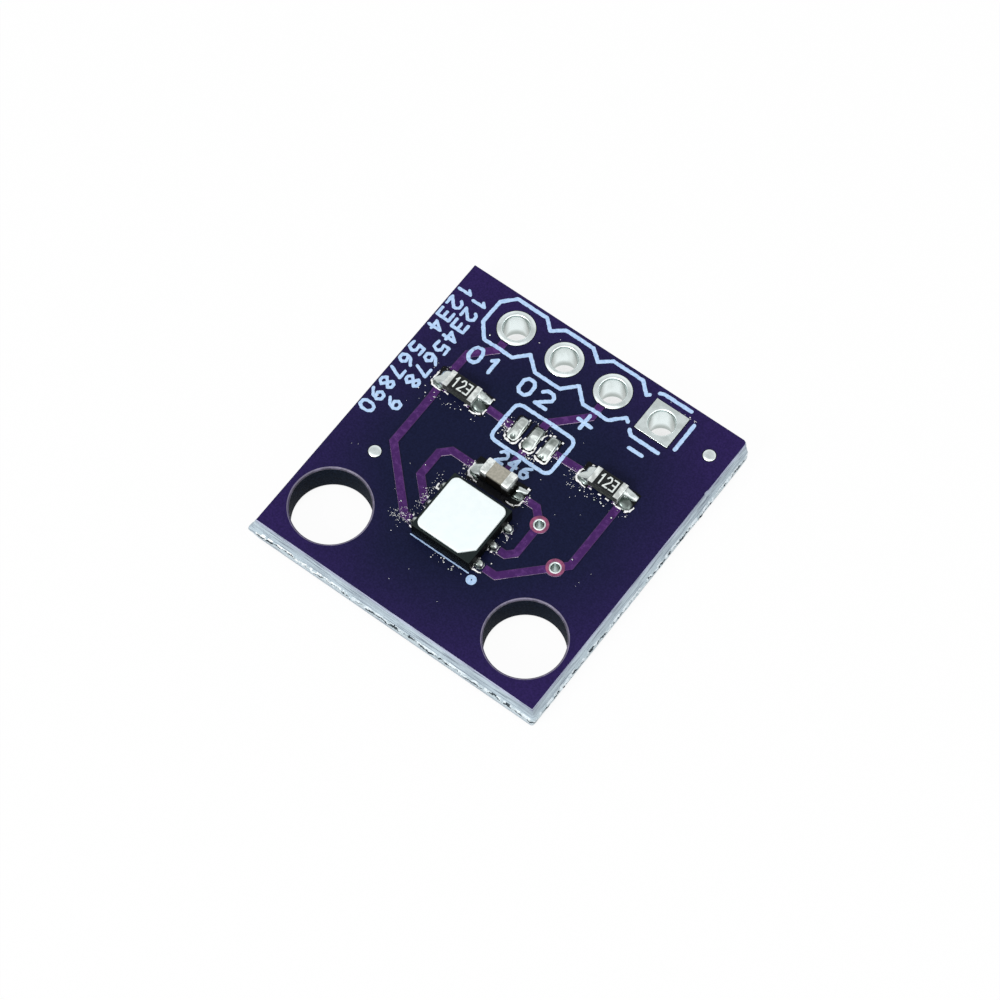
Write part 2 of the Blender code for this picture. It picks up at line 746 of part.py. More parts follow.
def build_capacitor(materials):
    """Ceramic block with a plated cap over each end."""
    x, y = on_art(CAPACITOR_PLACE)
    low = parts_bottom
    inner_half = CAPACITOR_LENGTH / 2 - END_PLATE - SEAT
    across = CAPACITOR_WIDTH / 2 - END_PLATE - SEAT
    body = add_object(
        "capacitor_ceramic",
        *box(
            (x - inner_half, y - across, low + END_PLATE + SEAT),
            (x + inner_half, y + across, low + CAPACITOR_HEIGHT - END_PLATE - SEAT),
        ),
        materials["ceramic"],
    )
    round_edges(body, CERAMIC_EDGE)
    outer = rounded_rectangle(CAPACITOR_WIDTH, CAPACITOR_HEIGHT, [CAPACITOR_CORNER] * 4)
    width = CAPACITOR_WIDTH - 2 * END_PLATE
    height = CAPACITOR_HEIGHT - 2 * END_PLATE
    pocket = rounded_rectangle(width, height, [CAPACITOR_CORNER - END_PLATE] * 4)
    middle = low + CAPACITOR_HEIGHT / 2
    end = CAPACITOR_LENGTH / 2
    mouth = end - CAPACITOR_BAND
    corner = CAPACITOR_EDGE * ARC_MIDDLE
    sections = (
        (end - END_PLATE, pocket, 0),
        (mouth, pocket, 0),
        (mouth, outer, CAPACITOR_LIP),
        (mouth + CAPACITOR_LIP, outer, 0),
        (end - CAPACITOR_EDGE, outer, 0),
        (end - corner, outer, corner),
        (end, outer, CAPACITOR_EDGE),
    )
    for side, direction in (("left", -1), ("right", 1)):
        rings = []
        for along, outline, inset in sections:
            size = 1 - 2 * inset / CAPACITOR_WIDTH
            rings.append([(x + direction * along, y + u * size, middle + v * size) for u, v in outline])
        add_object(f"capacitor_end_{side}", *loft(rings), materials["plate"], smooth=50)
    add_fillets("capacitor", materials, (x, y), CAPACITOR_LENGTH, CAPACITOR_CLIMB)


# Sensor

def contact_box(number, grow=0.0):
    """Corners of a sensor contact, or of the notch that holds it when grown by a clearance."""
    x, y = on_art(SENSOR_PLACE)
    side = 1 if number <= 3 else -1
    past = CUTTER_PAST if grow else 0.0
    out = x + side * (SENSOR_SIDE / 2 + past)
    back = x + side * (SENSOR_SIDE / 2 - CONTACT_DEPTH - grow)
    row = contact_land(number)[1]
    half = CONTACT_WIDTH / 2 + grow
    high = parts_bottom + CONTACT_HEIGHT + grow
    return (min(out, back), row - half, parts_bottom - past), (max(out, back), row + half, high)


def square_pocket(centre, length, width, low, high):
    return box(
        (centre[0] - width / 2, centre[1] - length / 2, low),
        (centre[0] + width / 2, centre[1] + length / 2, high),
    )


def build_sensor(materials):
    """Moulded package with contacts, thermal pad, sensing chip and filter cover."""
    centre = on_art(SENSOR_PLACE)
    low, high = parts_bottom, parts_bottom + SENSOR_HEIGHT
    package = add_object(
        "sensor_package",
        *square_pocket(centre, SENSOR_SIDE, SENSOR_SIDE, low, high),
        materials["package"],
    )
    round_edges(package, SENSOR_EDGE)
    floor = high - WINDOW_DEPTH
    length = THERMAL_LENGTH + 2 * SEAT
    width = THERMAL_WIDTH + 2 * SEAT
    pockets = [box(*contact_box(number, SEAT)) for number in range(1, 7)]
    pockets.append(square_pocket(centre, length, width, low - CUTTER_PAST, low + THERMAL_HEIGHT + SEAT))
    pockets.append(square_pocket(centre, WINDOW_SIDE, WINDOW_SIDE, floor, high + CUTTER_PAST))
    cut(package, add_cutter("sensor_pocket_cutter", joined(pockets)))

    add_object(
        "sensor_thermal_pad",
        *square_pocket(centre, THERMAL_LENGTH, THERMAL_WIDTH, low, low + THERMAL_HEIGHT),
        materials["plate"],
    )
    add_object(
        "sensor_chip",
        *square_pocket(centre, CHIP_SIDE, CHIP_SIDE, floor + SEAT, floor + SEAT + CHIP_HEIGHT),
        materials["silicon"],
    )
    for number in range(1, 7):
        add_object(f"sensor_contact_{number}", *box(*contact_box(number)), materials["plate"])
        direction = 1 if number <= 3 else -1
        face = centre[0] + direction * SENSOR_SIDE / 2
        row = contact_land(number)[1]
        shape = fillet_shape(face, direction, row, CONTACT_TOE, CONTACT_LAND, CONTACT_CLIMB)
        add_object(f"sensor_solder_{number}", *shape, materials["solder"], smooth=60)

    side = SENSOR_SIDE - 2 * COVER_INSET
    steps = 4
    outline = rounded_rectangle(side, side, [COVER_RADIUS] * 3 + [COVER_CHAMFER], steps)
    del outline[-steps:-1]  # the last corner is cut straight and not rounded
    levels = ((0, 1.0), (1 - COVER_EDGE / COVER_HEIGHT, 1.0), (1.0, 1 - 2 * COVER_EDGE / side))
    shape = dome(centre, outline, high + SEAT, COVER_HEIGHT, levels)
    add_object("sensor_filter_cover", *shape, materials["cover"], smooth=30)


def build_all():
    clear_scene()
    materials = make_materials()
    build_board(materials)
    build_header(materials)
    build_vias(materials)
    build_marks(materials)
    build_copper(materials)
    build_under_tracks(materials)
    build_jumper_solder(materials)
    build_resistor("resistor_left", on_art((RESISTOR_LEFT, RESISTOR_ROW)), materials)
    build_resistor("resistor_right", on_art((RESISTOR_RIGHT, RESISTOR_ROW)), materials)
    build_capacitor(materials)
    build_sensor(materials)


build_all()
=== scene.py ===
import math
import random

import bmesh
import bpy
from mathutils import Matrix, Vector, noise
from mathutils.bvhtree import BVHTree
from mathutils.geometry import delaunay_2d_cdt


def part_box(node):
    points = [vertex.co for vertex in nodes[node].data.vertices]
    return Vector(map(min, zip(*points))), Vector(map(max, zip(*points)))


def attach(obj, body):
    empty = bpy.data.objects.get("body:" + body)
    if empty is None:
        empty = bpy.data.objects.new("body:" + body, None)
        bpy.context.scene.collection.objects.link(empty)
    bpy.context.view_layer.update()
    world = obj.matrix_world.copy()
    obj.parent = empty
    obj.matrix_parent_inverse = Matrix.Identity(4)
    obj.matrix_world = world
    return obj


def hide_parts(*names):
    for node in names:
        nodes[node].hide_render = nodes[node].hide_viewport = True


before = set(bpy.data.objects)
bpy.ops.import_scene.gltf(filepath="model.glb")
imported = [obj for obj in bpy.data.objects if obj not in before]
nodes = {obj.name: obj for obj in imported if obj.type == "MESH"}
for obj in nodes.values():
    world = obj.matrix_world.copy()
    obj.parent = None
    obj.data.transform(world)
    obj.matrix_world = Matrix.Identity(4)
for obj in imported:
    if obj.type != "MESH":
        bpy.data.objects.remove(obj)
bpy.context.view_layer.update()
mm = 0.001
seat = 0.005  # gap between pieces that touch on the real board, in millimetres
print("frame loaded:", len(nodes), "solids")


# Places read from the solids, in millimetres

def boxOf(nodeName):
    low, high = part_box(nodeName)
    return [v / mm for v in low], [v / mm for v in high]


def middleOf(nodeName):
    low, high = boxOf(nodeName)
    return (low[0] + high[0]) / 2, (low[1] + high[1]) / 2


boardLow, boardHigh = boxOf("circuit_board")
boardBottom, boardTop = boardLow[2], boardHigh[2]
trackNames = sorted(name for name in nodes if "track" in name or name.startswith("spare_land"))
topTracks = [name for name in trackNames if not name.startswith("under")]
headerNames = ["header_eyelet_clock", "header_eyelet_data", "header_eyelet_supply", "header_eyelet_ground"]
viaNames = ["via_eyelet_ground", "via_eyelet_data"]
markNames = ["placing_mark_back", "placing_mark_left"]


def pieceNameOf(nodeName):
    words = nodeName.split("_")
    return words[0] + "".join(word.title() for word in words[1:])


# Shader maths

class Wire:
    def __init__(self, tree, output=None):
        self.tree = tree
        self.output = output

    # A node from its type, its settings and the values or links of its sockets
    def node(self, kind, settings=None, sockets=None, out=0):
        made = self.tree.nodes.new("ShaderNode" + kind)
        for name, value in (settings or {}).items():
            if name == "stops":
                ramp = made.color_ramp.elements
                while len(ramp) < len(value):
                    ramp.new(0.5)
                for stop, (place, colour) in zip(ramp, value):
                    stop.position = place
                    stop.color = (*colour, 1)
            else:
                setattr(made, name, value)
        for name, value in (sockets or {}).items():
            self.plug(made.inputs[name], value)
        return Wire(self.tree, made.outputs[out] if made.outputs else None)

    def plug(self, target, value):
        if isinstance(value, Wire):
            self.tree.links.new(value.output, target)
        elif isinstance(value, (tuple, list)) and len(value) == 3 and target.type == "RGBA":
            target.default_value = (*value, 1)
        else:
            target.default_value = value

    def maths(self, operation, first, second):
        return self.node("Math", {"operation": operation}, {0: first, 1: second})

    def __add__(self, other):
        return self.maths("ADD", self, other)

    def __radd__(self, other):
        return self.maths("ADD", other, self)

    def __sub__(self, other):
        return self.maths("SUBTRACT", self, other)

    def __rsub__(self, other):
        return self.maths("SUBTRACT", other, self)

    def __mul__(self, other):
        return self.maths("MULTIPLY", self, other)

    def __rmul__(self, other):
        return self.maths("MULTIPLY", other, self)

    def most(self, other):
        return self.maths("MAXIMUM", self, other)

    # 0 at the first value, 1 at the second, smooth between them
    def between(self, low, high):
        sockets = {0: self, 1: low, 2: high, 3: 0.0, 4: 1.0}
        return self.node("MapRange", {"interpolation_type": "SMOOTHSTEP"}, sockets)

    def blend(self, first, second):
        return self.node("Mix", {"data_type": "RGBA"}, {0: self, 6: first, 7: second}, 2)

    # Object coordinates in millimetres, stretched along each axis
    def place(self, stretch=(1, 1, 1)):
        where = self.node("TexCoord", None, None, 3)
        scale = tuple(value / mm for value in stretch)
        return self.node("VectorMath", {"operation": "MULTIPLY"}, {0: where, 1: scale})

    # One part of the place, or of the direction that the surface faces: 0 for X, 1 for Y, 2 for Z
    def placePart(self, axis):
        return self.node("SeparateXYZ", None, {0: self.place()}, axis)

    def facingPart(self, axis):
        facing = self.node("TexCoord", None, None, 1)
        return self.node("SeparateXYZ", None, {0: facing}, axis)

    def grain(self, size, detail=2.0, stretch=(1, 1, 1)):
        sockets = {"Vector": self.place(stretch), "Scale": 1 / size, "Detail": detail}
        return self.node("TexNoise", None, sockets)

    def bump(self, height, depth):
        return self.node("Bump", None, {"Height": height, "Distance": depth * mm, "Strength": 1.0})


socketNames = {
    "colour": "Base Color", "roughness": "Roughness", "metal": "Metallic", "gloss": "Specular IOR Level",
    "normal": "Normal",
}


# Turns the function under it, which gives the varying inputs, into a finish
def asFinish(name, **fixed):
    def make(build):
        made = bpy.data.materials.new(name)
        made.use_nodes = True
        shader = made.node_tree.nodes["Principled BSDF"]
        wire = Wire(made.node_tree)
        for key, value in {**fixed, **build(wire)}.items():
            wire.plug(shader.inputs[socketNames[key]], value)
        return made
    return make


# sRGB numbers from 0 to 255 as a linear colour
def tone(*levels):
    return tuple(((v / 255 + 0.055) / 1.055) ** 2.4 if v > 10 else v / 255 / 12.92 for v in levels)


print("making finishes")
maskLook = {
    "middle": tone(20, 25, 54), "border": tone(42, 30, 82), "from": 4.0, "to": 10.0,
    "roughness": 0.30, "gloss": 0.08, "ripple": 0.004, "dull": (0.75, 0.75, 0.78), "lively": (1.25, 1.22, 1.2),
}


# Solder mask, more purple away from the middle of the board: a painted sheen that stands for light reflected
# off the mask
@asFinish("purple solder mask", gloss=maskLook["gloss"])
def purpleMask(wire):
    flat = wire.node("VectorMath", {"operation": "MULTIPLY"}, {0: wire.place(), 1: (1, 1, 0)})
    reach = wire.node("VectorMath", {"operation": "LENGTH"}, {0: flat}, 1)
    # painted sheen: the border colour grows towards the edges of the board
    rim = (reach + wire.grain(3.0, 1.0) * 2.0 - 1.0).between(maskLook["from"], maskLook["to"])
    speckle = wire.grain(0.07, 3.0)
    shade = speckle.between(0.3, 0.75).blend(maskLook["dull"], maskLook["lively"])
    settings = {"data_type": "RGBA", "blend_type": "MULTIPLY"}
    sockets = {0: 1.0, 6: rim.blend(maskLook["middle"], maskLook["border"]), 7: shade}
    return {
        "colour": wire.node("Mix", settings, sockets, 2),
        "roughness": maskLook["roughness"] + speckle * 0.12,
        "normal": wire.bump(wire.grain(0.25, 3.0), maskLook["ripple"]),
    }


trackLook = {
    "colour": tone(66, 30, 92), "worn": tone(90, 50, 116), "roughness": 0.34, "gloss": 0.16,
    "edge": tone(66, 34, 88), "edgePale": tone(240, 222, 250), "edgeRoughness": 0.25, "edgeGloss": 0.8,
}


@asFinish("mask over copper", gloss=trackLook["gloss"])
def maskedCopper(wire):
    blotch, fine = wire.grain(0.22, 4.0), wire.grain(0.05, 2.0)
    amount = (blotch * 0.7 + fine * 0.3).between(0.46, 0.66)
    return {
        "colour": amount.blend(trackLook["colour"], trackLook["worn"]),
        "roughness": trackLook["roughness"] + fine * 0.1,
        "normal": wire.bump(blotch, 0.006),
    }


# Thin mask over the edges of the tracks, with a painted highlight where it faces the front
@asFinish("mask over a track edge", roughness=trackLook["edgeRoughness"], gloss=trackLook["edgeGloss"])
def trackEdgeHighlight(wire):
    # painted highlight on the edge faces that look towards the front lamp
    front = (wire.facingPart(1) * -1.0 + wire.facingPart(0) * 0.25).between(0.25, 0.75)
    patchy = wire.grain(0.9, 2.0).between(0.40, 0.56)
    return {"colour": (front * patchy).blend(trackLook["edge"], trackLook["edgePale"])}


edgeLook = {
    "wall": tone(180, 196, 206), "streak": tone(104, 116, 132), "top": tone(166, 164, 200), "layer": 0.055,
    "fibre": tone(220, 231, 237), "fibreWhite": tone(248, 252, 253), "whiteLeftOf": (-2.0, -4.5),
    "bare": tone(178, 194, 202), "low": tone(188, 202, 208),
    # the crack colours are painted shade under the torn ledge
    "crack": tone(36, 46, 54), "crackPale": tone(106, 118, 126),
}
boardMiddle = (boardTop + boardBottom) / 2


@asFinish("scored laminate", roughness=0.5)
def scoredLaminate(wire):
    layers = wire.grain(edgeLook["layer"], 3.0, (0.045, 0.045, 1))
    broad = wire.grain(edgeLook["layer"] * 3, 2.0, (0.10, 0.10, 1))
    lines = layers.between(0.53, 0.62) * 0.85
    shade = broad.between(0.42, 0.62) * 0.34
    lip = wire.placePart(2).between(boardTop - 0.20, boardTop - 0.02) * 0.65
    base = shade.blend(lip.blend(edgeLook["wall"], edgeLook["top"]), edgeLook["streak"])
    return {"colour": lines.blend(base, edgeLook["streak"]), "normal": wire.bump(layers, 0.010)}


# Torn fibres are whiter to the left
def fibreColour(wire):
    left = wire.placePart(0).between(*edgeLook["whiteLeftOf"])
    return left.blend(edgeLook["fibre"], edgeLook["fibreWhite"])


@asFinish("broken laminate", roughness=0.4)
def brokenLaminate(wire):
    coarse = wire.grain(0.26, 3.0, (1, 1, 1.6))
    above = wire.placePart(2).between(boardMiddle - 0.10, boardMiddle + 0.02)
    facets = coarse.between(0.54, 0.62).blend(edgeLook["bare"], fibreColour(wire))
    return {"colour": above.blend(edgeLook["low"], facets), "normal": wire.bump(coarse, 0.03)}


@asFinish("white torn fibres", roughness=0.4)
def tornFibres(wire):
    return {"colour": wire.grain(0.12, 2.0).between(0.30, 0.46).blend(edgeLook["bare"], fibreColour(wire))}


# Dark band under the torn ledge, painted shade
@asFinish("torn crack", roughness=0.7, gloss=0.2)
def crackShade(wire):
    return {"colour": wire.grain(0.07, 3.0).between(0.50, 0.66).blend(edgeLook["crack"], edgeLook["crackPale"])}


holeLook = {
    "wall": tone(8, 14, 24), "wallPale": tone(26, 35, 50),
    "chamfer": tone(130, 124, 148), "chamferDark": tone(62, 58, 76),
}


@asFinish("drilled wall", roughness=0.7, gloss=0.03)
def drilledWall(wire):
    fine = wire.grain(0.10, 3.0, (1, 1, 2.0))
    colour = fine.between(0.35, 0.7).blend(holeLook["wall"], holeLook["wallPale"])
    return {"colour": colour, "normal": wire.bump(fine, 0.008)}


@asFinish("eased hole edge", roughness=0.35)
def easedHoleEdge(wire):
    fine = wire.grain(0.30, 3.0)
    rim = wire.placePart(2).between(boardTop - 0.035, boardTop - 0.006)
    # paler near the top of the chamfer and in patches
    paleShare = rim * 0.6 + fine.between(0.44, 0.60) * 0.4
    worn = paleShare.blend(holeLook["chamferDark"], holeLook["chamfer"])
    away = wire.facingPart(1).between(0.10, 0.60)  # painted shade: what faces back, away from the lamps, has the colour of the mask
    return {"colour": away.blend(worn, maskLook["border"]), "normal": wire.bump(fine, 0.004)}


metalLook = {
    "tin": (0.88, 0.97, 0.97), "tinDark": (0.74, 0.82, 0.81), "barrelDark": (0.30, 0.34, 0.32),
    "deep": 0.85, "sides": 0.90, "inside": 0.08,
    "solder": (0.56, 0.61, 0.59), "solderDark": (0.24, 0.28, 0.26), "solderFront": (0.11, 0.13, 0.12),
    "sheet": (0.66, 0.72, 0.71), "sheetDark": (0.42, 0.47, 0.46),
    "blot": (0.15, 0.18, 0.17), "blotDark": (0.05, 0.07, 0.06),
    "plate": (0.94, 0.99, 0.97), "plateDark": (0.60, 0.64, 0.62), "plateFoot": (0.012, 0.012, 0.010),
    "plateShare": 0.6,
}


# Tinned copper with painted shade: darker deep in its barrel, at the barrel's sides and just inside its mouth
@asFinish("tinned copper", metal=1.0)
def tinnedCopper(wire):
    satin = wire.grain(0.55, 2.0, (1, 1, 0.3))
    colour = satin.between(0.36, 0.56).blend(metalLook["tinDark"], metalLook["tin"])
    height = wire.placePart(2)
    deep = height.between(boardBottom + 0.66, boardBottom + 0.16)
    deep = deep * height.between(boardBottom - 0.02, boardBottom + 0.05) * metalLook["deep"]
    inside = height.between(boardTop - 0.02, boardTop - 0.25) * metalLook["inside"]
    across = wire.facingPart(0) * 0.8 + wire.facingPart(1) * 0.6
    # painted shade at the barrel's sides, across the view
    sides = (across * across).between(0.10, 0.86) * height.between(boardTop + 0.01, boardTop - 0.10)
    return {
        "colour": deep.most(sides * metalLook["sides"]).most(inside).blend(colour, metalLook["barrelDark"]),
        "roughness": 0.16 + satin * 0.10,
        "normal": wire.bump(wire.grain(0.16, 1.0), 0.004),
    }


# Solder, darker in random patches, and with a painted dark reflection of the board where it faces the front, by
# the share given
def makeSolder(name, pale, dark, frontReflectionShare=0.0):
    @asFinish(name, metal=1.0)
    def made(wire):
        patchiness = wire.grain(0.60, 2.0)
        patchyColour = patchiness.between(0.50, 0.66).blend(metalLook[pale], metalLook[dark])
        front = (wire.facingPart(1) * -1.0).between(0.06, 0.36) * frontReflectionShare
        return {
            "colour": front.blend(patchyColour, metalLook["solderFront"]),
            "roughness": 0.17 + patchiness * 0.12,
            "normal": wire.bump(wire.grain(0.20, 1.0), 0.005),
        }
    return made


reflowedSolder = makeSolder("reflowed solder", "solder", "solderDark")
domeSolder = makeSolder("solder with a dark front", "solder", "solderDark", 0.9)
paleSolder = makeSolder("pale solder", "sheet", "sheetDark")
darkReflectionSolder = makeSolder("dark solder", "blot", "blotDark")
capacitorTop = boxOf("capacitor_ceramic")[1][2]
chipLook = {
    # side is painted shade, the colour that the ceramic fades to down its sides
    "ceramic": tone(154, 152, 140), "ceramicPale": tone(174, 170, 158), "side": tone(16, 13, 9),
    "fade": (capacitorTop - 0.22, capacitorTop - 0.03), "endFade": (capacitorTop - 0.34, capacitorTop - 0.09),
    "package": tone(5, 7, 7), "packageTop": tone(34, 42, 42),
}


# Plating of a chip's end, with painted shade darkening its foot where a shade fade is given
def makePlate(name, fade=None):
    @asFinish(name, metal=metalLook["plateShare"])
    def made(wire):
        satin = wire.grain(0.30, 2.0)
        spots = wire.grain(0.13, 1.0).between(0.62, 0.70)
        colour = satin.between(0.38, 0.60).blend(metalLook["plateDark"], metalLook["plate"])
        colour = spots.blend(colour, metalLook["plateDark"])
        if fade:
            colour = wire.placePart(2).between(*fade).blend(metalLook["plateFoot"], colour)
        return {"colour": colour, "roughness": 0.26 + satin * 0.12, "normal": wire.bump(satin, 0.010)}
    return made


platedChipEnd = makePlate("plated chip end")
capacitorEnd = makePlate("plated capacitor end", chipLook["endFade"])


# Moulded black, greyer on its top face
@asFinish("moulded package", roughness=0.5, gloss=0.06)
def packageBlack(wire):
    top = wire.facingPart(2).between(0.8, 0.95)
    return {
        "colour": top.blend(chipLook["package"], chipLook["packageTop"]),
        "normal": wire.bump(wire.grain(0.06, 3.0), 0.006),
    }


# Ceramic with painted shade that darkens it down its sides
@asFinish("capacitor ceramic", roughness=0.45, gloss=0.2)
def capacitorCeramic(wire):
    colour = wire.grain(0.10, 2.0).between(0.3, 0.7).blend(chipLook["ceramic"], chipLook["ceramicPale"])
    return {"colour": wire.placePart(2).between(*chipLook["fade"]).blend(chipLook["side"], colour)}


# Two tones in grains of a size, with a bump of a depth
def makePlain(name, dark, pale, size, depth, **fixed):
    @asFinish(name, **fixed)
    def made(wire):
        fine = wire.grain(size, 3.0)
        colour = fine.between(0.3, 0.7).blend(tone(*dark), tone(*pale))
        return {"colour": colour, "normal": wire.bump(fine, depth)}
    return made


printInk = makePlain(
    "pale blue print", (168, 200, 240), (194, 222, 255), 0.12, 0.004, roughness=0.5)
shadedBareLaminate = makePlain(
    "bare laminate round the lands", (5, 6, 10), (12, 13, 20), 0.1, 0.01, roughness=0.4, gloss=0.15)
resistorCeramic = makePlain("resistor side", (38, 42, 40), (70, 74, 68), 0.1, 0.01, roughness=0.55)
resistorCoat = makePlain("resistor coat", (6, 10, 11), (15, 19, 20), 0.1, 0.004, roughness=0.35, gloss=0.3)
whiteDigits = makePlain("white digits", (206, 216, 214), (240, 246, 242), 0.06, 0.002, roughness=0.5)
fluxFilm = makePlain("dark flux film", (3, 4, 6), (10, 12, 16), 0.1, 0.006, roughness=0.3, gloss=0.15)
coverWhite = makePlain("white filter cover", (242, 252, 253), (246, 255, 255), 0.3, 0.002, roughness=0.5)
sensingSilicon = makePlain("sensing chip", (60, 64, 78), (84, 88, 104), 0.1, 0.001, roughness=0.2)
fluxWhiteAndHighlight = makePlain(
    "dried flux", (250, 253, 253), (255, 255, 255), 0.05, 0.004, roughness=0.2, gloss=0.8)
viaRing = makePlain(
    "thin mask on a via", (112, 42, 84), (158, 72, 112), 0.16, 0.004, roughness=0.25, gloss=0.8)


# Meshes

def turnOutwards(mesh, weldWithin=None):
    work = bmesh.new()
    work.from_mesh(mesh)
    if weldWithin:
        bmesh.ops.remove_doubles(work, verts=work.verts, dist=weldWithin)
    bmesh.ops.recalc_face_normals(work, faces=work.faces)
    work.to_mesh(mesh)
    work.free()


# A piece from points in millimetres; the marks are each face's finish, and it stands for the solids named
def addPiece(name, points, faces, finishes, slotName=None, smooth=None, marks=None, stands=()):
    mesh = bpy.data.meshes.new(name)
    mesh.from_pydata([Vector(p) * mm for p in points], [], faces)
    for finish in finishes:
        mesh.materials.append(finish)
    if marks:
        mesh.polygons.foreach_set("material_index", marks)
    turnOutwards(mesh)
    if smooth is not None:
        mesh.shade_smooth()
        mesh.set_sharp_from_angle(angle=math.radians(smooth))
    piece = bpy.data.objects.new(name, mesh)
    bpy.context.scene.collection.objects.link(piece)
    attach(piece, "root")
    if stands:
        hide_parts(*stands)
    return piece


# Faces between rings of points, closed at both ends by caps or in a loop
def skin(rings, loop=False, caps=True):
    count = len(rings[0])
    points = [p for ring in rings for p in ring]
    faces = []
    for r in range(len(rings) if loop else len(rings) - 1):
        a, b = r * count, (r + 1) % len(rings) * count
        for i in range(count):
            j = (i + 1) % count
            faces.append((a + i, a + j, b + j, b + i))
    if caps and not loop:
        faces.append(tuple(range(count - 1, -1, -1)))
        faces.append(tuple(range(len(points) - count, len(points))))
    return points, faces


def gather(shapes):
    points, faces = [], []
    for morePoints, moreFaces in shapes:
        start = len(points)
        points += morePoints
        faces += [tuple(start + i for i in face) for face in moreFaces]
    return points, faces


def ringOf(centre, radius, z, segments, square=False):
    ring = []
    for i in range(segments):
        angle = 2 * math.pi * i / segments
        x, y = math.cos(angle), math.sin(angle)
        reach = radius / max(abs(x), abs(y)) if square else radius
        ring.append((centre[0] + x * reach, centre[1] + y * reach, z))
    return ring


def insideOf(point, outline):
    found = False
    for i, a in enumerate(outline):
        b = outline[i - 1]
        if (a[1] > point[1]) != (b[1] > point[1]):
            if point[0] < a[0] + (b[0] - a[0]) * (point[1] - a[1]) / (b[1] - a[1]):
                found = not found
    return found


# Flat triangles that cover the outlines less the holes, with inner points at a spacing
def fillOutlines(outlines, holes=(), spacing=None):
    points, loops = [], []
    for outline in [*outlines, *holes]:
        loops.append(list(range(len(points), len(points) + len(outline))))
        points += [Vector(p[:2]) for p in outline]
    if spacing:
        for outline in outlines:
            xs, ys = [p[0] for p in outline], [p[1] for p in outline]
            for i in range(math.ceil(min(xs) / spacing), math.floor(max(xs) / spacing) + 1):
                for j in range(math.ceil(min(ys) / spacing), math.floor(max(ys) / spacing) + 1):
                    if insideOf((i * spacing, j * spacing), outline):
                        points.append(Vector((i * spacing, j * spacing)))
    flat, _, triangles, _, _, sources = delaunay_2d_cdt(points, [], loops, 1, 1e-6)
    kept = [t for t, source in zip(triangles, sources) if source and all(s < len(outlines) for s in source)]
    used = sorted({i for triangle in kept for i in triangle})
    index = {old: new for new, old in enumerate(used)}
    return [tuple(flat[i]) for i in used], [tuple(index[i] for i in t) for t in kept]


# A thin layer that follows the ground under it
def layer(outlines, holes, ground, rise, sink=0.003, spacing=None):
    flat, triangles = fillOutlines(outlines, holes, spacing)
    count = len(flat)
    heights = [ground(x, y) for x, y in flat]
    points = [(x, y, h - sink) for (x, y), h in zip(flat, heights)]
    points += [(x, y, h + rise) for (x, y), h in zip(flat, heights)]
    faces = [tuple(reversed(t)) for t in triangles] + [tuple(i + count for i in t) for t in triangles]
    edges = {(t[k], t[(k + 1) % 3]) for t in triangles for k in range(3)}
    for a, b in sorted(edges):
        if (b, a) not in edges:
            faces.append((a, b, b + count, a + count))
    return points, faces


trackMeshes = [nodes[name].data for name in topTracks]
copperTree = BVHTree.FromPolygons(*gather(
    ([v.co.copy() for v in mesh.vertices], [tuple(p.vertices) for p in mesh.polygons]) for mesh in trackMeshes
))


# Highest of the board and its tracks close to a point
def groundAt(x, y, reach=0.05):
    best = boardTop
    for dx, dy in ((0, 0), (reach, 0), (-reach, 0), (0, reach), (0, -reach)):
        hit = copperTree.ray_cast(Vector((x + dx, y + dy, 10)) * mm, Vector((0, 0, -1)))
        if hit[0] is not None:
            best = max(best, hit[0].z / mm)
    return best


def ripple(x, y, z=0.0):
    return noise.noise(Vector((x, y, z)))


# Board, snapped out of its panel: mask on both faces, scored walls, a torn web between them

boardCut = {
    "steps": 420, "wallRows": 4, "webRows": 16, "width": 14.27, "length": 15.08,
    # depth of the score and its run outwards, how far the lower face stands out, and the lower score's share
    "score": 0.56, "run": 0.182, "shift": 0.07, "lowerShare": 0.75,
    # how far the torn web stands out, its share at the foot and on the lower score, where its swell starts and
    # how blunt it is, and the ledge
    "reach": 0.118, "foot": 0.3, "lowerReach": 0.25, "swellStart": 0.08, "swellPower": 0.7, "ledge": 0.034,
    # the tear's level, then how close each wave of it is along and down, and its share
    "tearLevel": 0.55, "tearWaves": [(1.3, 1.5, 0.55), (5.1, 5.0, 0.50), (14.0, 11.0, 0.35)],
    # height of the crack over the board's middle, then how close its waves are, their seed and their height
    "crackLift": 0.06, "crackWaves": [(1.9, 5.5, 0.12), (7.5, 2.2, 0.09)],
    # width of the bands, its level and its swing, and how close its waves are and their seed
    "bands": {"crack": (0.052, 1.2, 2.0, 2.7, 4.4), "fibres": (0.115, 1.3, 1.6, 4.1, 9.4)},
    "holes": [(-5.04, -5.21), (5.04, -5.21)], "holeRadius": 1.74, "holeChamfer": 0.09, "holeSegments": 128,
    # middle, radius and depth of the knocks in the edges
    "knocks": [((7.16, 7.56), 0.16, 0.06), ((7.16, 4.6), 0.14, 0.05)],
    # how much of the reach stays at each corner, from the front left one round to the back left one, and how
    # blunt each is below its score
    "bulges": [1.0, 0.70, 0.0, 0.20], "rounding": [0.10, 0.14, 0.50, 0.15],
    # the share of the reach and the run of the corners along each side, from the front one round to the left
    "sideReach": [1.0, 1.0, 0.35, 0.35], "bulgeRuns": [11, 11, 16, 28],
    # the corner where the tear is smooth, and how far from it
    "smoothCorner": (-7.43, -7.84), "smoothReach": 0.42,
}
# the finishes of the board, by the number that marks a face
boardMarks = {"mask": 0, "scored": 1, "broken": 2, "drilled": 3, "eased": 4, "crack": 5, "fibres": 6}
platedHole = {"header": 1.16, "via": 0.38, "wall": 0.04, "segments": 48}


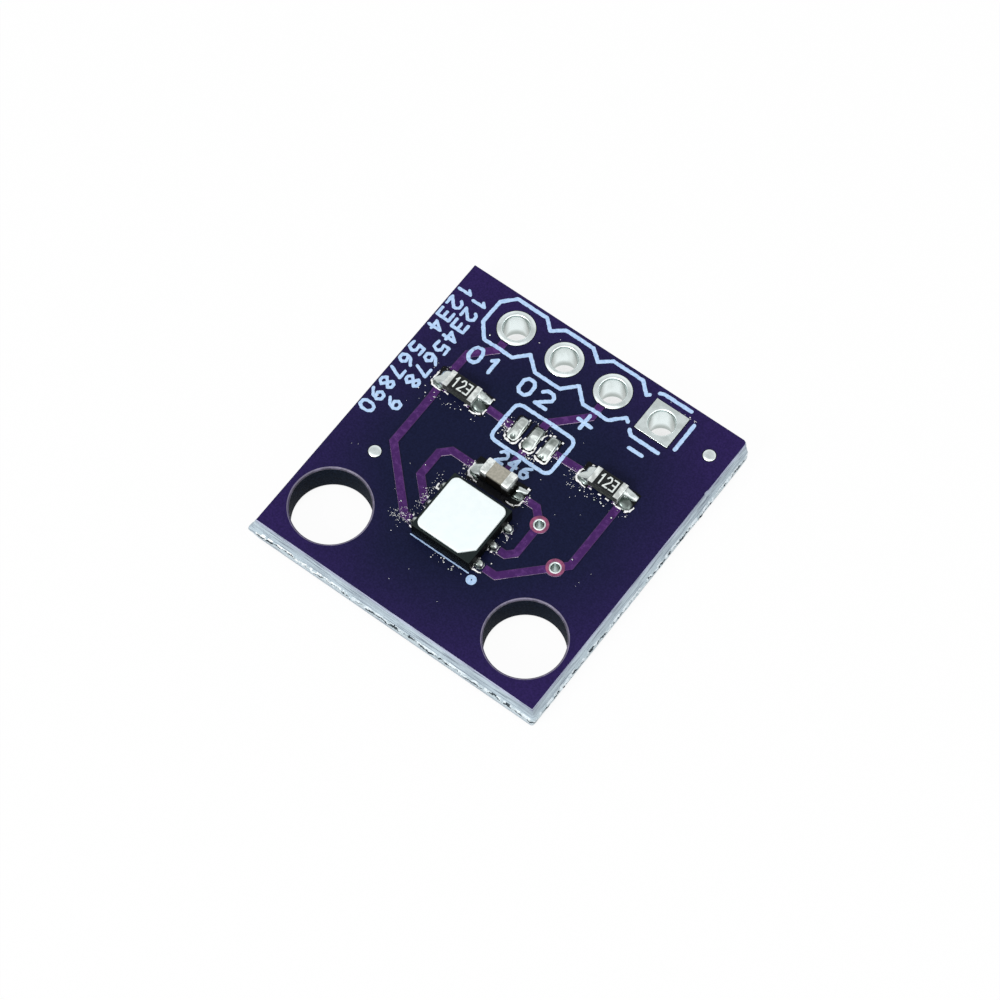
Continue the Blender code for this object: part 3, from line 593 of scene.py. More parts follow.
# How far the torn web stands out at a place, from 0 to 1
def tear(x, y, z, seed):
    level = boardCut["tearLevel"]
    for axis, (along, down, share) in enumerate(boardCut["tearWaves"]):
        point = [x * along, y * along, z * down]
        point[axis] += seed
        level += share * ripple(*point)
    return min(1.0, max(0.0, level))


# Height of the crack under the torn ledge
def crackHeight(x, y):
    height = boardMiddle + boardCut["crackLift"]
    for close, seed, share in boardCut["crackWaves"]:
        height += share * ripple(x * close, y * close, seed)
    return height


# The corners are blunter further down
def roundedCorner(x, y, z, outset, reach):
    corner = (2 if x > 0 else 3) if y > 0 else (1 if x > 0 else 0)
    radius = boardCut["rounding"][corner] * min(1.0, (boardTop - z) / boardCut["score"])
    outset += reach * boardCut["bulges"][corner]
    dx = abs(x) - (boardCut["width"] / 2 + outset - radius)
    dy = abs(y) - (boardCut["length"] / 2 + outset - radius)
    if radius < 1e-6 or dx <= 0 or dy <= 0:
        return x, y
    shrink = max(dx, dy) / math.hypot(dx, dy)
    return math.copysign(abs(x) - dx * (1 - shrink), x), math.copysign(abs(y) - dy * (1 - shrink), y)


# Knocks pull the edge in towards the middle of the board
def knocked(x, y):
    for middle, radius, depth in boardCut["knocks"]:
        away = math.dist((x, y), middle)
        if away < radius:
            pull = depth * (1 - (away / radius) ** 2)
            length = math.hypot(x, y)
            x, y = x - x / length * pull, y - y / length * pull
    return x, y


def boardOutline(z, offset, reach):
    corners = [(-1, -1), (1, -1), (1, 1), (-1, 1)]
    bulges = boardCut["bulges"]
    ring = []
    for side in range(4):
        start, end = corners[side], corners[(side + 1) % 4]
        outward = ((end[1] - start[1]) / 2, (start[0] - end[0]) / 2)
        for i in range(boardCut["steps"]):
            s = i / boardCut["steps"]
            run = boardCut["bulgeRuns"][side]
            nearStart, nearEnd = max(0.0, 1 - run * s), max(0.0, 1 - run * (1 - s))
            bulge = reach * (bulges[side] * nearStart + bulges[(side + 1) % 4] * nearEnd)
            x = (start[0] + (end[0] - start[0]) * s) * (boardCut["width"] / 2 + offset + bulge)
            y = (start[1] + (end[1] - start[1]) * s) * (boardCut["length"] / 2 + offset + bulge)
            push = 0.0
            if reach:
                ends = 1 - max(nearStart, nearEnd)
                push = reach * boardCut["sideReach"][side] * tear(x, y, z, side * 7.3) * ends
                if z < crackHeight(x, y):
                    push -= min(reach, boardCut["ledge"]) * (0.5 + 0.5 * ends)
            x, y = x + outward[0] * push, y + outward[1] * push
            ring.append((*knocked(*roundedCorner(x, y, z, offset, reach)), z))
    return ring


# Height, offset and reach of each level of the edge: upper score, torn web, lower score
def boardLevels():
    score, run, rows = boardCut["score"], boardCut["run"], boardCut["wallRows"]
    upper, lower = boardTop - score, boardBottom + score
    levels = [(boardTop - score * (i / rows), run * (i / rows), 0.0) for i in range(rows + 1)]
    lowerRun = boardCut["shift"] + run * boardCut["lowerShare"]
    for i in range(1, boardCut["webRows"]):
        t = i / boardCut["webRows"]
        swell = math.sin(math.pi * min(1.0, boardCut["swellStart"] + t)) ** boardCut["swellPower"]
        share = boardCut["foot"] + (1 - boardCut["foot"]) * swell
        offset = run + (lowerRun - run) * max(0.0, 2 * t - 1)
        levels.append((upper + (lower - upper) * t, offset, boardCut["reach"] * share))
    for i in range(rows + 1):
        t = 1 - i / rows
        offset = boardCut["shift"] + run * boardCut["lowerShare"] * t
        levels.append((boardBottom + score * t, offset, boardCut["reach"] * boardCut["lowerReach"] * t))
    return levels


def bandWidth(kind, x, y):
    width, level, swing, close, seed = boardCut["bands"][kind]
    return width * (level + swing * ripple(x * close, y * close, seed))


# Which part of the tear a face of the web shows
def tornKind(x, y, z):
    above = z - crackHeight(x, y)
    if math.dist((x, y), boardCut["smoothCorner"]) < boardCut["smoothReach"]:
        return "scored" if above > -0.02 else "broken"
    if abs(above) < bandWidth("crack", x, y):
        return "crack"
    if 0 < above < bandWidth("fibres", x, y):
        return "fibres"
    return "broken"


# Middle, steps of height, radius and finish, and segments of each hole through the board
def boardDrills():
    drills = []
    radius, ease = boardCut["holeRadius"], boardCut["holeChamfer"]
    for centre in boardCut["holes"]:
        steps = []
        for a in (0, 0.4, 0.8, 1.2):
            steps.append((boardTop - ease * (1 - math.cos(a)), radius + ease * (1 - math.sin(a)), "eased"))
        steps.append((boardTop - ease, radius, "drilled"))
        steps += [(boardBottom + boardTop - z, r, "eased") for z, r, _ in reversed(steps)]
        drills.append((centre, steps, boardCut["holeSegments"]))
    for name in headerNames + viaNames:
        radius = platedHole["header" if name in headerNames else "via"] / 2 + platedHole["wall"] + seat
        steps = [(boardTop, radius, "drilled"), (boardBottom, radius, "drilled")]
        drills.append((middleOf(name), steps, platedHole["segments"]))
    return drills


def makeBoard():
    rings = [boardOutline(*level) for level in boardLevels()]
    points, faces = skin(rings, caps=False)
    marks = []
    for row in range(len(rings) - 1):
        webbed = boardCut["wallRows"] <= row < boardCut["wallRows"] + boardCut["webRows"]
        for (x, y, high), (_, _, low) in zip(rings[row], rings[row + 1]):
            marks.append(tornKind(x, y, (high + low) / 2) if webbed else "scored")
    drills = boardDrills()
    for centre, steps, segments in drills:
        tube = skin([ringOf(centre, r, z, segments) for z, r, _ in steps], caps=False)
        points, faces = gather([(points, faces), tube])
        for _, _, mark in steps[:-1]:
            marks += [mark] * segments
    for z, ring, end in ((boardTop, rings[0], 0), (boardBottom, rings[-1], -1)):
        holes = [ringOf(centre, steps[end][1], z, segments) for centre, steps, segments in drills]
        flat, triangles = fillOutlines([ring], holes)
        points, faces = gather([(points, faces), ([(x, y, z) for x, y in flat], triangles)])
        marks += ["mask"] * len(triangles)
    return points, faces, [boardMarks[mark] for mark in marks]


print("building the board")
points, faces, marks = makeBoard()
board = addPiece(
    "boardLaminate", points, faces,
    [purpleMask, scoredLaminate, brokenLaminate, drilledWall, easedHoleEdge, crackShade, tornFibres],
    "mask", marks=marks, stands=["circuit_board"],
)
turnOutwards(board.data, weldWithin=1e-7)
smoothMarks = [boardMarks[kind] for kind in ("scored", "drilled", "eased")]
for polygon in board.data.polygons:
    polygon.use_smooth = polygon.material_index in smoothMarks


# Plated holes and marks

eyeletLook = {
    "header": {"segments": 96, "lip": 0.06, "lipDepth": 0.12, "edge": 0.013},
    "via": {"segments": 48, "lip": 0.035, "lipDepth": 0.06, "edge": 0.015},
    "fall": 0.031, "waist": 0.025, "arc": 5,
}
markLook = {"rings": 9, "segments": 48, "bulge": 0.55}


# The upper half of the profile is turned over for the lower half
def eyelet(name, kind, square):
    (left, _, low), (right, _, high) = boxOf(name)
    look = eyeletLook[kind]
    lip, lipDepth, edge = look["lip"], look["lipDepth"], look["edge"]
    inner, outer = platedHole[kind] / 2, (right - left) / 2
    arc = [math.pi / 2 * i / eyeletLook["arc"] for i in range(eyeletLook["arc"] + 1)]
    middle = (low + high) / 2
    top = []
    for t in (0.0, 0.35, 0.7):
        waist = eyeletLook["waist"] * math.cos(math.pi / 2 * t)
        top.append((inner - waist, middle + (high - lipDepth - middle) * t, False))
    for a in arc:
        top.append((inner + lip * (1 - math.cos(a)), high - lipDepth * (1 - math.sin(a)), False))
    span = outer - edge - inner - lip
    fall = 0.0 if square else min(eyeletLook["fall"], high - boardTop - seat - edge)
    for t in (0.2, 0.4, 0.6, 0.8):
        top.append((inner + lip + span * t, high - fall * t * t, square and t > 0.3))
    for a in arc:
        top.append((outer - edge * (1 - math.sin(a)), high - fall - edge * (1 - math.cos(a)), square))
    top.append((outer, boardTop + seat, square))
    top.append((inner + platedHole["wall"], boardTop + seat, False))
    profile = top + [(r, low + high - z, s) for r, z, s in reversed(top[1:])]
    return skin([ringOf(middleOf(name), r, z, look["segments"], s) for r, z, s in profile], loop=True)


def placingMark(name):
    low, high = boxOf(name)
    rings = []
    for i in range(markLook["rings"]):
        a = math.pi / 2 * i / markLook["rings"]
        radius = (high[0] - low[0]) / 2 * math.cos(a) ** markLook["bulge"]
        z = low[2] + (high[2] - low[2]) * math.sin(a)
        rings.append(ringOf(middleOf(name), radius, z, markLook["segments"]))
    return skin(rings)


print("building the plated holes")
for name in headerNames:
    shape = eyelet(name, "header", name.endswith("ground"))
    addPiece(pieceNameOf(name), *shape, [tinnedCopper], "tin", smooth=50, stands=[name])
for name in viaNames:
    shape = eyelet(name, "via", False)
    addPiece(pieceNameOf(name), *shape, [tinnedCopper], "tin", smooth=50, stands=[name])
for name in markNames:
    addPiece(pieceNameOf(name), *placingMark(name), [tinnedCopper], "tin", smooth=60, stands=[name])


# Mask openings, near-black with painted shade, and rings round the vias

openingLook = {
    "gap": 0.03, "heel": 0.06, "rise": 0.002, "step": 0.08, "wobble": 0.03, "capacitorWobble": 0.06,
    "capacitorSides": 0.55, "capacitorFront": 0.30, "capacitorBack": -0.10, "sensorInset": 0.3,
    "padGap": 0.03, "padInset": 0.02, "padSegments": 72,
    "viaRing": (0.272, 0.402), "ringRise": 0.004, "ringSink": 0.012, "ringSegments": 48,
}


def boxOutline(low, high, step=0.1, wobble=0.0, seed=0.0):
    corners = [(low[0], low[1]), (high[0], low[1]), (high[0], high[1]), (low[0], high[1])]
    outline = []
    for k in range(4):
        a, b = corners[k], corners[(k + 1) % 4]
        count = max(1, round(math.dist(a, b) / step))
        for i in range(count):
            x, y = a[0] + (b[0] - a[0]) * i / count, a[1] + (b[1] - a[1]) * i / count
            dx = wobble * ripple(x * 7 + seed, y * 7)
            dy = wobble * ripple(x * 7, y * 7 + seed, 3.1)
            outline.append((x + dx, y + dy))
    return outline


def landBox(nodeName, grow):
    low, high = boxOf(nodeName)
    return (low[0] - grow, low[1] - grow), (high[0] + grow, high[1] + grow)


solderNames = sorted(name for name in nodes if "solder" in name)
print("building the mask openings")
step = openingLook["step"]
shapes = []
for name in solderNames:
    (left, front), (right, back) = landBox(name, openingLook["gap"])
    # the openings run on under the chips, where the land is painted over in shade
    if name.startswith(("resistor", "capacitor")):
        left -= openingLook["heel"] if name.endswith("right") else 0
        right += openingLook["heel"] if name.endswith("left") else 0
    if not name.startswith("sensor"):
        shapes.append(boxOutline((left, front), (right, back), step, openingLook["wobble"], 2.0))
# a wide dark patch round the capacitor, painted shade beyond its lands
(left, front, _), (right, back, _) = boxOf("capacitor_ceramic")
sides = openingLook["capacitorSides"]
shapes.append(boxOutline(
    (left - sides, front - openingLook["capacitorFront"]), (right + sides, back + openingLook["capacitorBack"]),
    step, openingLook["capacitorWobble"], 5.0,
))
shapes.append(boxOutline(*landBox("sensor_package", -openingLook["sensorInset"])))
openings = [layer(shapes, [], groundAt, openingLook["rise"], 0.003, step)]
for name in headerNames + markNames:
    low, high = boxOf(name)
    centre, radius, square = middleOf(name), (high[0] - low[0]) / 2, name.endswith("ground")
    outer = ringOf(centre, radius + openingLook["padGap"], 0, openingLook["padSegments"], square)
    inner = ringOf(centre, radius - openingLook["padInset"], 0, openingLook["padSegments"], square)
    openings.append(layer([outer], [inner], groundAt, openingLook["rise"]))
addPiece("maskOpenings", *gather(openings), [shadedBareLaminate])
viaTop = boxOf(viaNames[0])[1][2]
rings = []
for name in viaNames:
    inner, outer = (ringOf(middleOf(name), r, 0, openingLook["ringSegments"]) for r in openingLook["viaRing"])
    rings.append(layer([outer], [inner], lambda x, y: viaTop, openingLook["ringRise"], openingLook["ringSink"]))
addPiece("viaRings", *gather(rings), [viaRing])


# Tracks keep their solids, with softened edges

# width and steps of the eased edges, and the angle in degrees from which an edge is eased
easeLook = {
    "track": (0.019, 2), "coat": (0.006, 2), "end": (0.008, 2), "capacitorEnd": (0.02, 3), "contact": (0.01, 2),
    "angle": 40, "joined": 1e-7,
}


def soften(node, ease, edgeFinish=None):
    node.modifiers.new("joined corners", "WELD").merge_threshold = easeLook["joined"]
    bevel = node.modifiers.new("soft edges", "BEVEL")
    if edgeFinish:
        node.data.materials.append(edgeFinish)
        bevel.material = 1
    width, bevel.segments = easeLook[ease]
    bevel.width = width * mm
    bevel.limit_method = "ANGLE"
    bevel.angle_limit = math.radians(easeLook["angle"])
    bevel.harden_normals = False


def dress(nodeName, finish):
    node = nodes[nodeName]
    node.data.materials.clear()
    node.data.materials.append(finish)
    return node


print("dressing the tracks and the chips")
for name in trackNames:
    soften(dress(name, maskedCopper), "track", trackEdgeHighlight)
for name in ("resistor_left", "resistor_right"):
    dress(name + "_ceramic", resistorCeramic)
    soften(dress(name + "_coat", resistorCoat), "coat")
    for side in ("left", "right"):
        soften(dress(f"{name}_end_{side}", platedChipEnd), "end")
dress("capacitor_ceramic", capacitorCeramic)
for side in ("left", "right"):
    soften(dress("capacitor_end_" + side, capacitorEnd), "capacitorEnd")
dress("sensor_package", packageBlack)
dress("sensor_thermal_pad", platedChipEnd)
dress("sensor_chip", sensingSilicon)
for number in range(1, 7):
    soften(dress(f"sensor_contact_{number}", platedChipEnd), "contact")


# Filter cover, a little higher in its middle

coverLook = {
    "radius": 0.30, "chamfer": 0.54, "edge": 0.045, "edgeSteps": 5, "bow": 0.018, "rows": 14, "steps": 8,
    "chamferSteps": (0.0, 0.08, 0.5, 0.92, 1.0),
}


def coverOutline(half):
    cut, radius, steps = coverLook["chamfer"], coverLook["radius"], coverLook["steps"]
    outline = []
    for corner, (signX, signY) in enumerate([(1, 1), (-1, 1), (-1, -1)]):
        for i in range(steps + 1):
            angle = math.pi / 2 * (corner + i / steps)
            outline.append((signX * (half - radius) + radius * math.cos(angle),
                            signY * (half - radius) + radius * math.sin(angle)))
    return outline + [(half - cut * (1 - t), -half + cut * t) for t in coverLook["chamferSteps"]]


def makeCover():
    low, high = boxOf("sensor_filter_cover")
    centre = middleOf("sensor_filter_cover")
    half = (high[0] - low[0]) / 2
    edge, bow, rows = coverLook["edge"], coverLook["bow"], coverLook["rows"]
    levels = [(1, low[2])]
    for i in range(coverLook["edgeSteps"] + 1):
        a = math.pi / 2 * i / coverLook["edgeSteps"]
        levels.append((1 - edge / half * (1 - math.cos(a)), high[2] - bow - edge * (1 - math.sin(a))))
    for i in range(1, rows + 1):
        size = (1 - edge / half) * (1 - i / (rows + 0.4))
        levels.append((size, high[2] - bow * size ** 2))
    outline = coverOutline(half)
    return skin([[(centre[0] + x * size, centre[1] + y * size, z) for x, y in outline] for size, z in levels])


print("building the filter cover")
addPiece("filterCover", *makeCover(), [coverWhite], "cover", smooth=60, stands=["sensor_filter_cover"])


# Solder, lumpier than the solids that it stands for

solderLook = {
    "spacing": 0.022, "film": 0.010, "thin": 2.2, "lump": 0.20, "lumpSize": 0.34, "crown": 0.45,
    "dome": {"height": 0.26, "halfLength": 0.86, "halfWidth": 0.80, "squareness": 2.6, "crown": 0.5},
}


def power(base, exponent):
    return max(0.0, base) ** exponent


# A heap of solder over its land, from the height and the finish at each place; where it is thin, the film shows
def heap(nodeName, heightAt, seed):
    low, high = boxOf(nodeName)
    columns = max(8, round((high[0] - low[0]) / solderLook["spacing"]))
    rows = max(8, round((high[1] - low[1]) / solderLook["spacing"]))
    limit, size = high[2] - low[2], solderLook["lumpSize"]
    heights, kinds, points = [], [], []
    for j in range(rows + 1):
        for i in range(columns + 1):
            x = low[0] + (high[0] - low[0]) * i / columns
            y = low[1] + (high[1] - low[1]) * j / rows
            rise, kind = heightAt(i / columns, 2 * j / rows - 1)
            rise *= 1 + solderLook["lump"] * ripple(x / size + seed, y / size, seed)
            heights.append(min(limit, max(solderLook["film"], rise)))
            kinds.append(kind)
            points.append((x, y, low[2] + heights[-1]))
    faces, marks = [], []
    for j in range(rows):
        for i in range(columns):
            a = j * (columns + 1) + i
            corners = (a, a + 1, a + columns + 2, a + columns + 1)
            faces.append(corners)
            thin = max(heights[k] for k in corners) < solderLook["film"] * solderLook["thin"]
            marks.append(1 if thin else kinds[a])
    rim = list(range(columns + 1)) + [j * (columns + 1) + columns for j in range(1, rows + 1)]
    rim += [rows * (columns + 1) + i for i in range(columns - 1, -1, -1)]
    rim += [j * (columns + 1) for j in range(rows - 1, 0, -1)]
    start = len(points)
    points += [(points[k][0], points[k][1], low[2]) for k in rim]
    for k in range(len(rim)):
        after = (k + 1) % len(rim)
        faces.append((rim[after], rim[k], start + k, start + after))
    faces.append(tuple(range(start + len(rim) - 1, start - 1, -1)))
    marks += [0] * (len(rim) + 1)
    return points, faces, marks


# Lumps of the solder at a chip's end: middle along and across, half width along and across, how far it leans
# to the back and how much it narrows at the toe, height at the chip and at the toe, squareness, and 0 for pale
# or 2 for a painted dark reflection of the board. Along runs from 0 at the chip to 1 at the toe, across from -1
# at the front to 1 at the back.
filletLook = {
    "resistorLeft": [
        (0.25, 0.10, 0.80, 0.82, -0.58, 0.72, 0.32, 0.06, 4.0, 0),
        (0.42, -0.74, 0.46, 0.24, 0.0, 0.2, 0.10, 0.06, 2.2, 2),
        (0.10, 0.40, 0.66, 0.52, -0.10, 0.20, 0.31, 0.08, 4.0, 0),
    ],
    "resistorRight": [
        (0.30, 0.46, 0.74, 0.50, 0.10, 0.50, 0.30, 0.05, 4.0, 0),
        (0.42, -0.38, 0.56, 0.56, -0.06, 0.1, 0.22, 0.12, 2.3, 2),
    ],
    "capacitorLeft": [
        (0.30, 0.02, 0.75, 0.84, -0.25, 0.45, 0.27, 0.06, 4.0, 0),
        (0.42, -0.74, 0.46, 0.22, 0.0, 0.2, 0.08, 0.05, 2.2, 2),
    ],
    "capacitorRight": [
        (0.55, 0.28, 0.50, 0.40, 0.34, 0.60, 0.16, 0.06, 4.0, 0),
        (0.50, -0.22, 0.43, 0.34, 0.10, 0.0, 0.15, 0.10, 3.0, 2),
    ],
}


def filletHeight(toward, lumps):
    def heightAt(u, v):
        t = u if toward == "Right" else 1 - u
        best = (0.0, 0)
        for along, across, halfAlong, halfAcross, lean, narrow, near, far, squareness, kind in lumps:
            width = halfAcross * (1 - narrow * t)
            away = abs((t - along) / halfAlong) ** squareness
            away += abs((v - across - lean * t) / width) ** squareness
            best = max(best, ((near + (far - near) * t) * power(1 - away, solderLook["crown"]), kind))
        return best
    return heightAt


# Solder on the jumper's lands: half width and how much it narrows to the back, middle and half length, where it
# starts to fall to the front, over what run, how much and how bent, squareness at the front and the back, and
# the crown; then the pits in the front of two of them, each with its middle and radius
jumperLook = {
    "halfWidth": 0.88, "narrow": 0.06, "middle": 0.04, "halfLength": 0.92,
    "fallFrom": 0.30, "fallRun": 1.15, "fall": 0.66, "bend": 1.2, "front": 2.6, "back": 4.0, "crown": 0.55,
    "pits": {"left": (0.56, -0.66, 0.20), "right": (0.46, -0.78, 0.18)}, "pitSquash": 0.9, "pitFloor": 0.45,
}


def jumperHeight(tall, pit):
    look = jumperLook

    def heightAt(u, v):
        across = (2 * u - 1) / (look["halfWidth"] - look["narrow"] * v)
        along = (v - look["middle"]) / look["halfLength"]
        slope = 1.0 - look["fall"] * power((look["fallFrom"] - v) / look["fallRun"], look["bend"])
        sharp = look["front"] if v < 0 else look["back"]
        rise = tall * slope * power(1 - abs(across) ** sharp - abs(along) ** (2 * sharp), look["crown"])
        # the pits take finish 2, a painted dark reflection of the board
        if pit:
            away = math.hypot((u - pit[0]) * look["pitSquash"], v - pit[1]) / pit[2]
            if away < 1:
                return rise * (look["pitFloor"] + (1 - look["pitFloor"]) * away ** 2), 2
        return rise, 0
    return heightAt


def domeHeight(toward):
    look = solderLook["dome"]

    def heightAt(u, v):
        t = u if toward > 0 else 1 - u
        squareness = look["squareness"]
        away = (t / look["halfLength"]) ** squareness + abs(v / look["halfWidth"]) ** squareness
        return look["height"] * power(1 - away, look["crown"]), 0
    return heightAt


print("building the solder")
for index, name in enumerate(solderNames):
    kind, last = name.split("_")[0], name.split("_")[-1]
    finish, film = paleSolder, fluxFilm
    if kind == "jumper":
        low, high = boxOf(name)
        finish, shape = reflowedSolder, jumperHeight(high[2] - low[2], jumperLook["pits"].get(last))
    elif kind == "sensor":
        finish, film, shape = domeSolder, purpleMask, domeHeight(1 if int(last) <= 3 else -1)
    else:
        shape = filletHeight(last.title(), filletLook[kind + last.title()])
    points, faces, marks = heap(name, shape, 3.7 * index)
    finishes = [finish, film, darkReflectionSolder]
    addPiece(pieceNameOf(name), points, faces, finishes, "solder", smooth=70, marks=marks, stands=[name])


# Print

printLook = {
    "line": 0.17, "number": 0.14, "thin": 0.06, "rise": 0.008, "sink": 0.002, "step": 0.07, "spacing": 0.11,
    "endSteps": 6, "shortest": 1e-3,
    # the wobble of the outline, then how close its waves are and their seeds along X and Y
    "wobble": 0.022, "waves": (9, 1.7, 8.3),
}
# lines beside the header holes, with a minus sign and a plus sign
headerPrint = [
    [(-4.65, 7.30), (-3.10, 7.30), (-2.62, 6.87), (-2.10, 7.30), (-0.65, 7.30), (-0.12, 6.87), (0.40, 7.30),
     (1.95, 7.30), (2.45, 6.82), (2.56, 6.92)],
    [(-4.65, 7.30), (-5.18, 6.75), (-5.20, 5.55), (-4.65, 4.88), (-3.15, 4.88), (-2.62, 5.45), (-1.95, 4.88),
     (-0.65, 4.88), (-0.08, 5.48), (0.55, 4.88), (1.85, 4.88), (2.42, 5.45), (2.58, 5.33)],
    [(2.88, 7.22), (3.05, 7.30), (4.45, 7.30)],
    [(4.92, 6.85), (4.92, 5.43)],
    [(2.85, 5.07), (3.05, 4.88), (4.45, 4.88)],
    [(3.33, 4.37), (3.98, 4.37)],
    [(0.83, 4.20), (1.50, 4.18)],
    [(1.15, 4.58), (1.13, 3.88)],
]
jumperPrint = {"left": -1.68, "right": 1.38, "front": 1.29, "back": 3.31, "corner": 0.30}
sensorPrint = {
    "line": [(-1.58, -4.245), (1.40, -4.245)], "dot": (1.69, -4.42), "dotRadius": 0.23, "dotSegments": 32,
    "pin": (1.70, -4.41), "pinRadius": 0.035, "pinSegments": 12, "spacing": 0.08,
}
# plain numbers beside the header holes and the jumper: text, first corner, width, height and gap of the digits
headerNumbers = [("01", (-4.72, 3.70), 0.50, 0.72, 0.42), ("02", (-2.10, 3.74), 0.56, 0.76, 0.42)]
jumperNumber = ("246", (-0.84, 0.57), 0.36, 0.56, 0.24)
digitShapes = {
    "0": [[(0.25, 0), (0.75, 0), (1, 0.25), (1, 0.75), (0.75, 1), (0.25, 1), (0, 0.75), (0, 0.25), (0.25, 0)]],
    "1": [[(0.1, 0.75), (0.5, 1), (0.5, 0)]],
    "2": [[(0, 0.8), (0.25, 1), (0.75, 1), (1, 0.8), (1, 0.6), (0, 0), (1, 0)]],
    "3": [[(0, 1), (1, 1), (1, 0), (0, 0)], [(0.2, 0.5), (1, 0.5)]],
    "4": [[(0.75, 0), (0.75, 1), (0, 0.35), (1, 0.35)]],
    "5": [[(0.95, 1), (0.1, 1), (0.05, 0.55), (0.7, 0.6), (1, 0.35), (0.75, 0), (0, 0.05)]],
    "6": [[(0.85, 1), (0.2, 0.7), (0, 0.3), (0.25, 0), (0.75, 0), (1, 0.3), (0.7, 0.55), (0.1, 0.45)]],
    "7": [[(0, 1), (1, 1), (0.4, 0)]],
    "8": [[(0.5, 0.53), (0.05, 0.78), (0.3, 1), (0.7, 1), (0.95, 0.78), (0.5, 0.53), (0, 0.25), (0.3, 0),
           (0.7, 0), (1, 0.25), (0.5, 0.53)]],
    "9": [[(0.15, 0), (0.8, 0.3), (1, 0.7), (0.75, 1), (0.25, 1), (0, 0.7), (0.3, 0.45), (0.9, 0.55)]],
}
# plain numbers that run down the left edge: text, foot of the digits, middle of the first, step between two
edgeRows = [("1234 567890", -7.00, 6.24, 0.682), ("12345678 9", -6.16, 6.10, 0.660)]
edgeDigit = {"width": 0.40, "height": 0.60}


def numberRoutes(text, corner, width, height, gap):
    routes = []
    for place, digit in enumerate(text):
        x0 = corner[0] + place * (width + gap)
        for shape in digitShapes[digit]:
            routes.append([(x0 + u * width, corner[1] + v * height) for u, v in shape])
    return routes


def edgeRoutes():
    width, height = edgeDigit["width"], edgeDigit["height"]
    routes = []
    for text, foot, first, step in edgeRows:
        for place, digit in enumerate(text):
            middle = first - place * step
            for shape in digitShapes.get(digit, []):
                routes.append([(foot + v * height, middle - (u - 0.5) * width) for u, v in shape])
    return routes


# A printed stroke with round ends and a wobbly outline
def capsule(a, b, width, wobble):
    length = max(1e-6, math.dist(a, b))
    ux, uy = (b[0] - a[0]) / length, (b[1] - a[1]) / length
    half, ends = width / 2, printLook["endSteps"]
    sides = max(1, round(length / printLook["step"]))
    outline = []
    for (x, y), sign in ((a, 1), (b, -1)):
        for i in range(sides):
            along = length * i / sides
            outline.append((x + sign * (ux * along + uy * half), y + sign * (uy * along - ux * half)))
        farX, farY = b if sign > 0 else a
        for i in range(ends + 1):
            turn = math.pi * i / ends - math.pi / 2
            dx, dy = sign * math.cos(turn) * half, sign * math.sin(turn) * half
            outline.append((farX + ux * dx - uy * dy, farY + uy * dx + ux * dy))
    close, seedX, seedY = printLook["waves"]
    moved = []
    for x, y in outline:
        dx, dy = (wobble * ripple(x * close, y * close, seed) for seed in (seedX, seedY))
        there = (x + dx, y + dy)
        if not moved or math.dist(moved[-1], there) > printLook["shortest"]:
            moved.append(there)
    if math.dist(moved[0], moved[-1]) < printLook["shortest"]:
        moved.pop()
    return moved


def strokes(routes, width, wobble):
    return [capsule(a, b, width, wobble) for route in routes for a, b in zip(route, route[1:])]


def roundedRoute(left, right, front, back, corner):
    route = []
    for cx, cy, start in (
        (right - corner, back - corner, 0), (left + corner, back - corner, 90),
        (left + corner, front + corner, 180), (right - corner, front + corner, 270),
    ):
        for i in range(4):
            angle = math.radians(start + 30 * i)
            route.append((cx + corner * math.cos(angle), cy + corner * math.sin(angle)))
    return route + [route[0]]


print("building the print")
routes = headerPrint + [roundedRoute(**jumperPrint)]
for number in headerNumbers:
    routes += numberRoutes(*number)
outlines = strokes(routes, printLook["line"], printLook["wobble"])
outlines += strokes(edgeRoutes() + numberRoutes(*jumperNumber), printLook["number"], printLook["wobble"])
outlines += strokes([sensorPrint["line"]], printLook["thin"], printLook["wobble"] / 2)
dot = ringOf(sensorPrint["dot"], sensorPrint["dotRadius"], 0, sensorPrint["dotSegments"])
pin = ringOf(sensorPrint["pin"], sensorPrint["pinRadius"], 0, sensorPrint["pinSegments"])
rise, sink = printLook["rise"], printLook["sink"]
addPiece("boardPrint", *gather([
    layer(outlines, [], groundAt, rise, sink, printLook["spacing"]),
    layer([dot], [pin], groundAt, rise, sink, sensorPrint["spacing"]),
]), [printInk])

digitLook = {
    "text": "123", "width": 0.20, "height": 0.50, "gap": 0.10, "line": 0.068, "wobble": 0.004,
    "rise": 0.003, "sink": 0.002,
}
coatTop = boxOf("resistor_left_coat")[1][2]
for side in ("left", "right"):
    x, y = middleOf(f"resistor_{side}_coat")
    width, height, gap = (digitLook[key] for key in ("width", "height", "gap"))
    span = 3 * width + 2 * gap
    routes = numberRoutes(digitLook["text"], (x - span / 2, y - height / 2), width, height, gap)
    outlines = strokes(routes, digitLook["line"], digitLook["wobble"])
    shape = layer(outlines, [], lambda x, y: coatTop, digitLook["rise"], digitLook["sink"])
    addPiece("digits" + side.title(), *shape, [whiteDigits])


# Dried flux along the lands, white as a painted highlight, specks and small balls of solder

fluxLook = {
    "radius": (0.028, 0.058), "step": 0.025, "jitter": 0.05, "sides": 6, "gap": 0.02, "frontGap": 0.06,
    "lift": 0.4, "flat": 0.8,
}
# smallest radius, how rare the larger specks are, spread within a patch, and what keeps clear of specks
speckLook = {
    "seed": 11, "smallest": 0.014, "rarity": 2.4, "spread": 0.6, "lift": 0.6, "flat": 0.45, "sizes": (0.6, 1.3),
    "halfWidth": 6.9, "halfLength": 7.3, "holeRadius": 1.95,
}
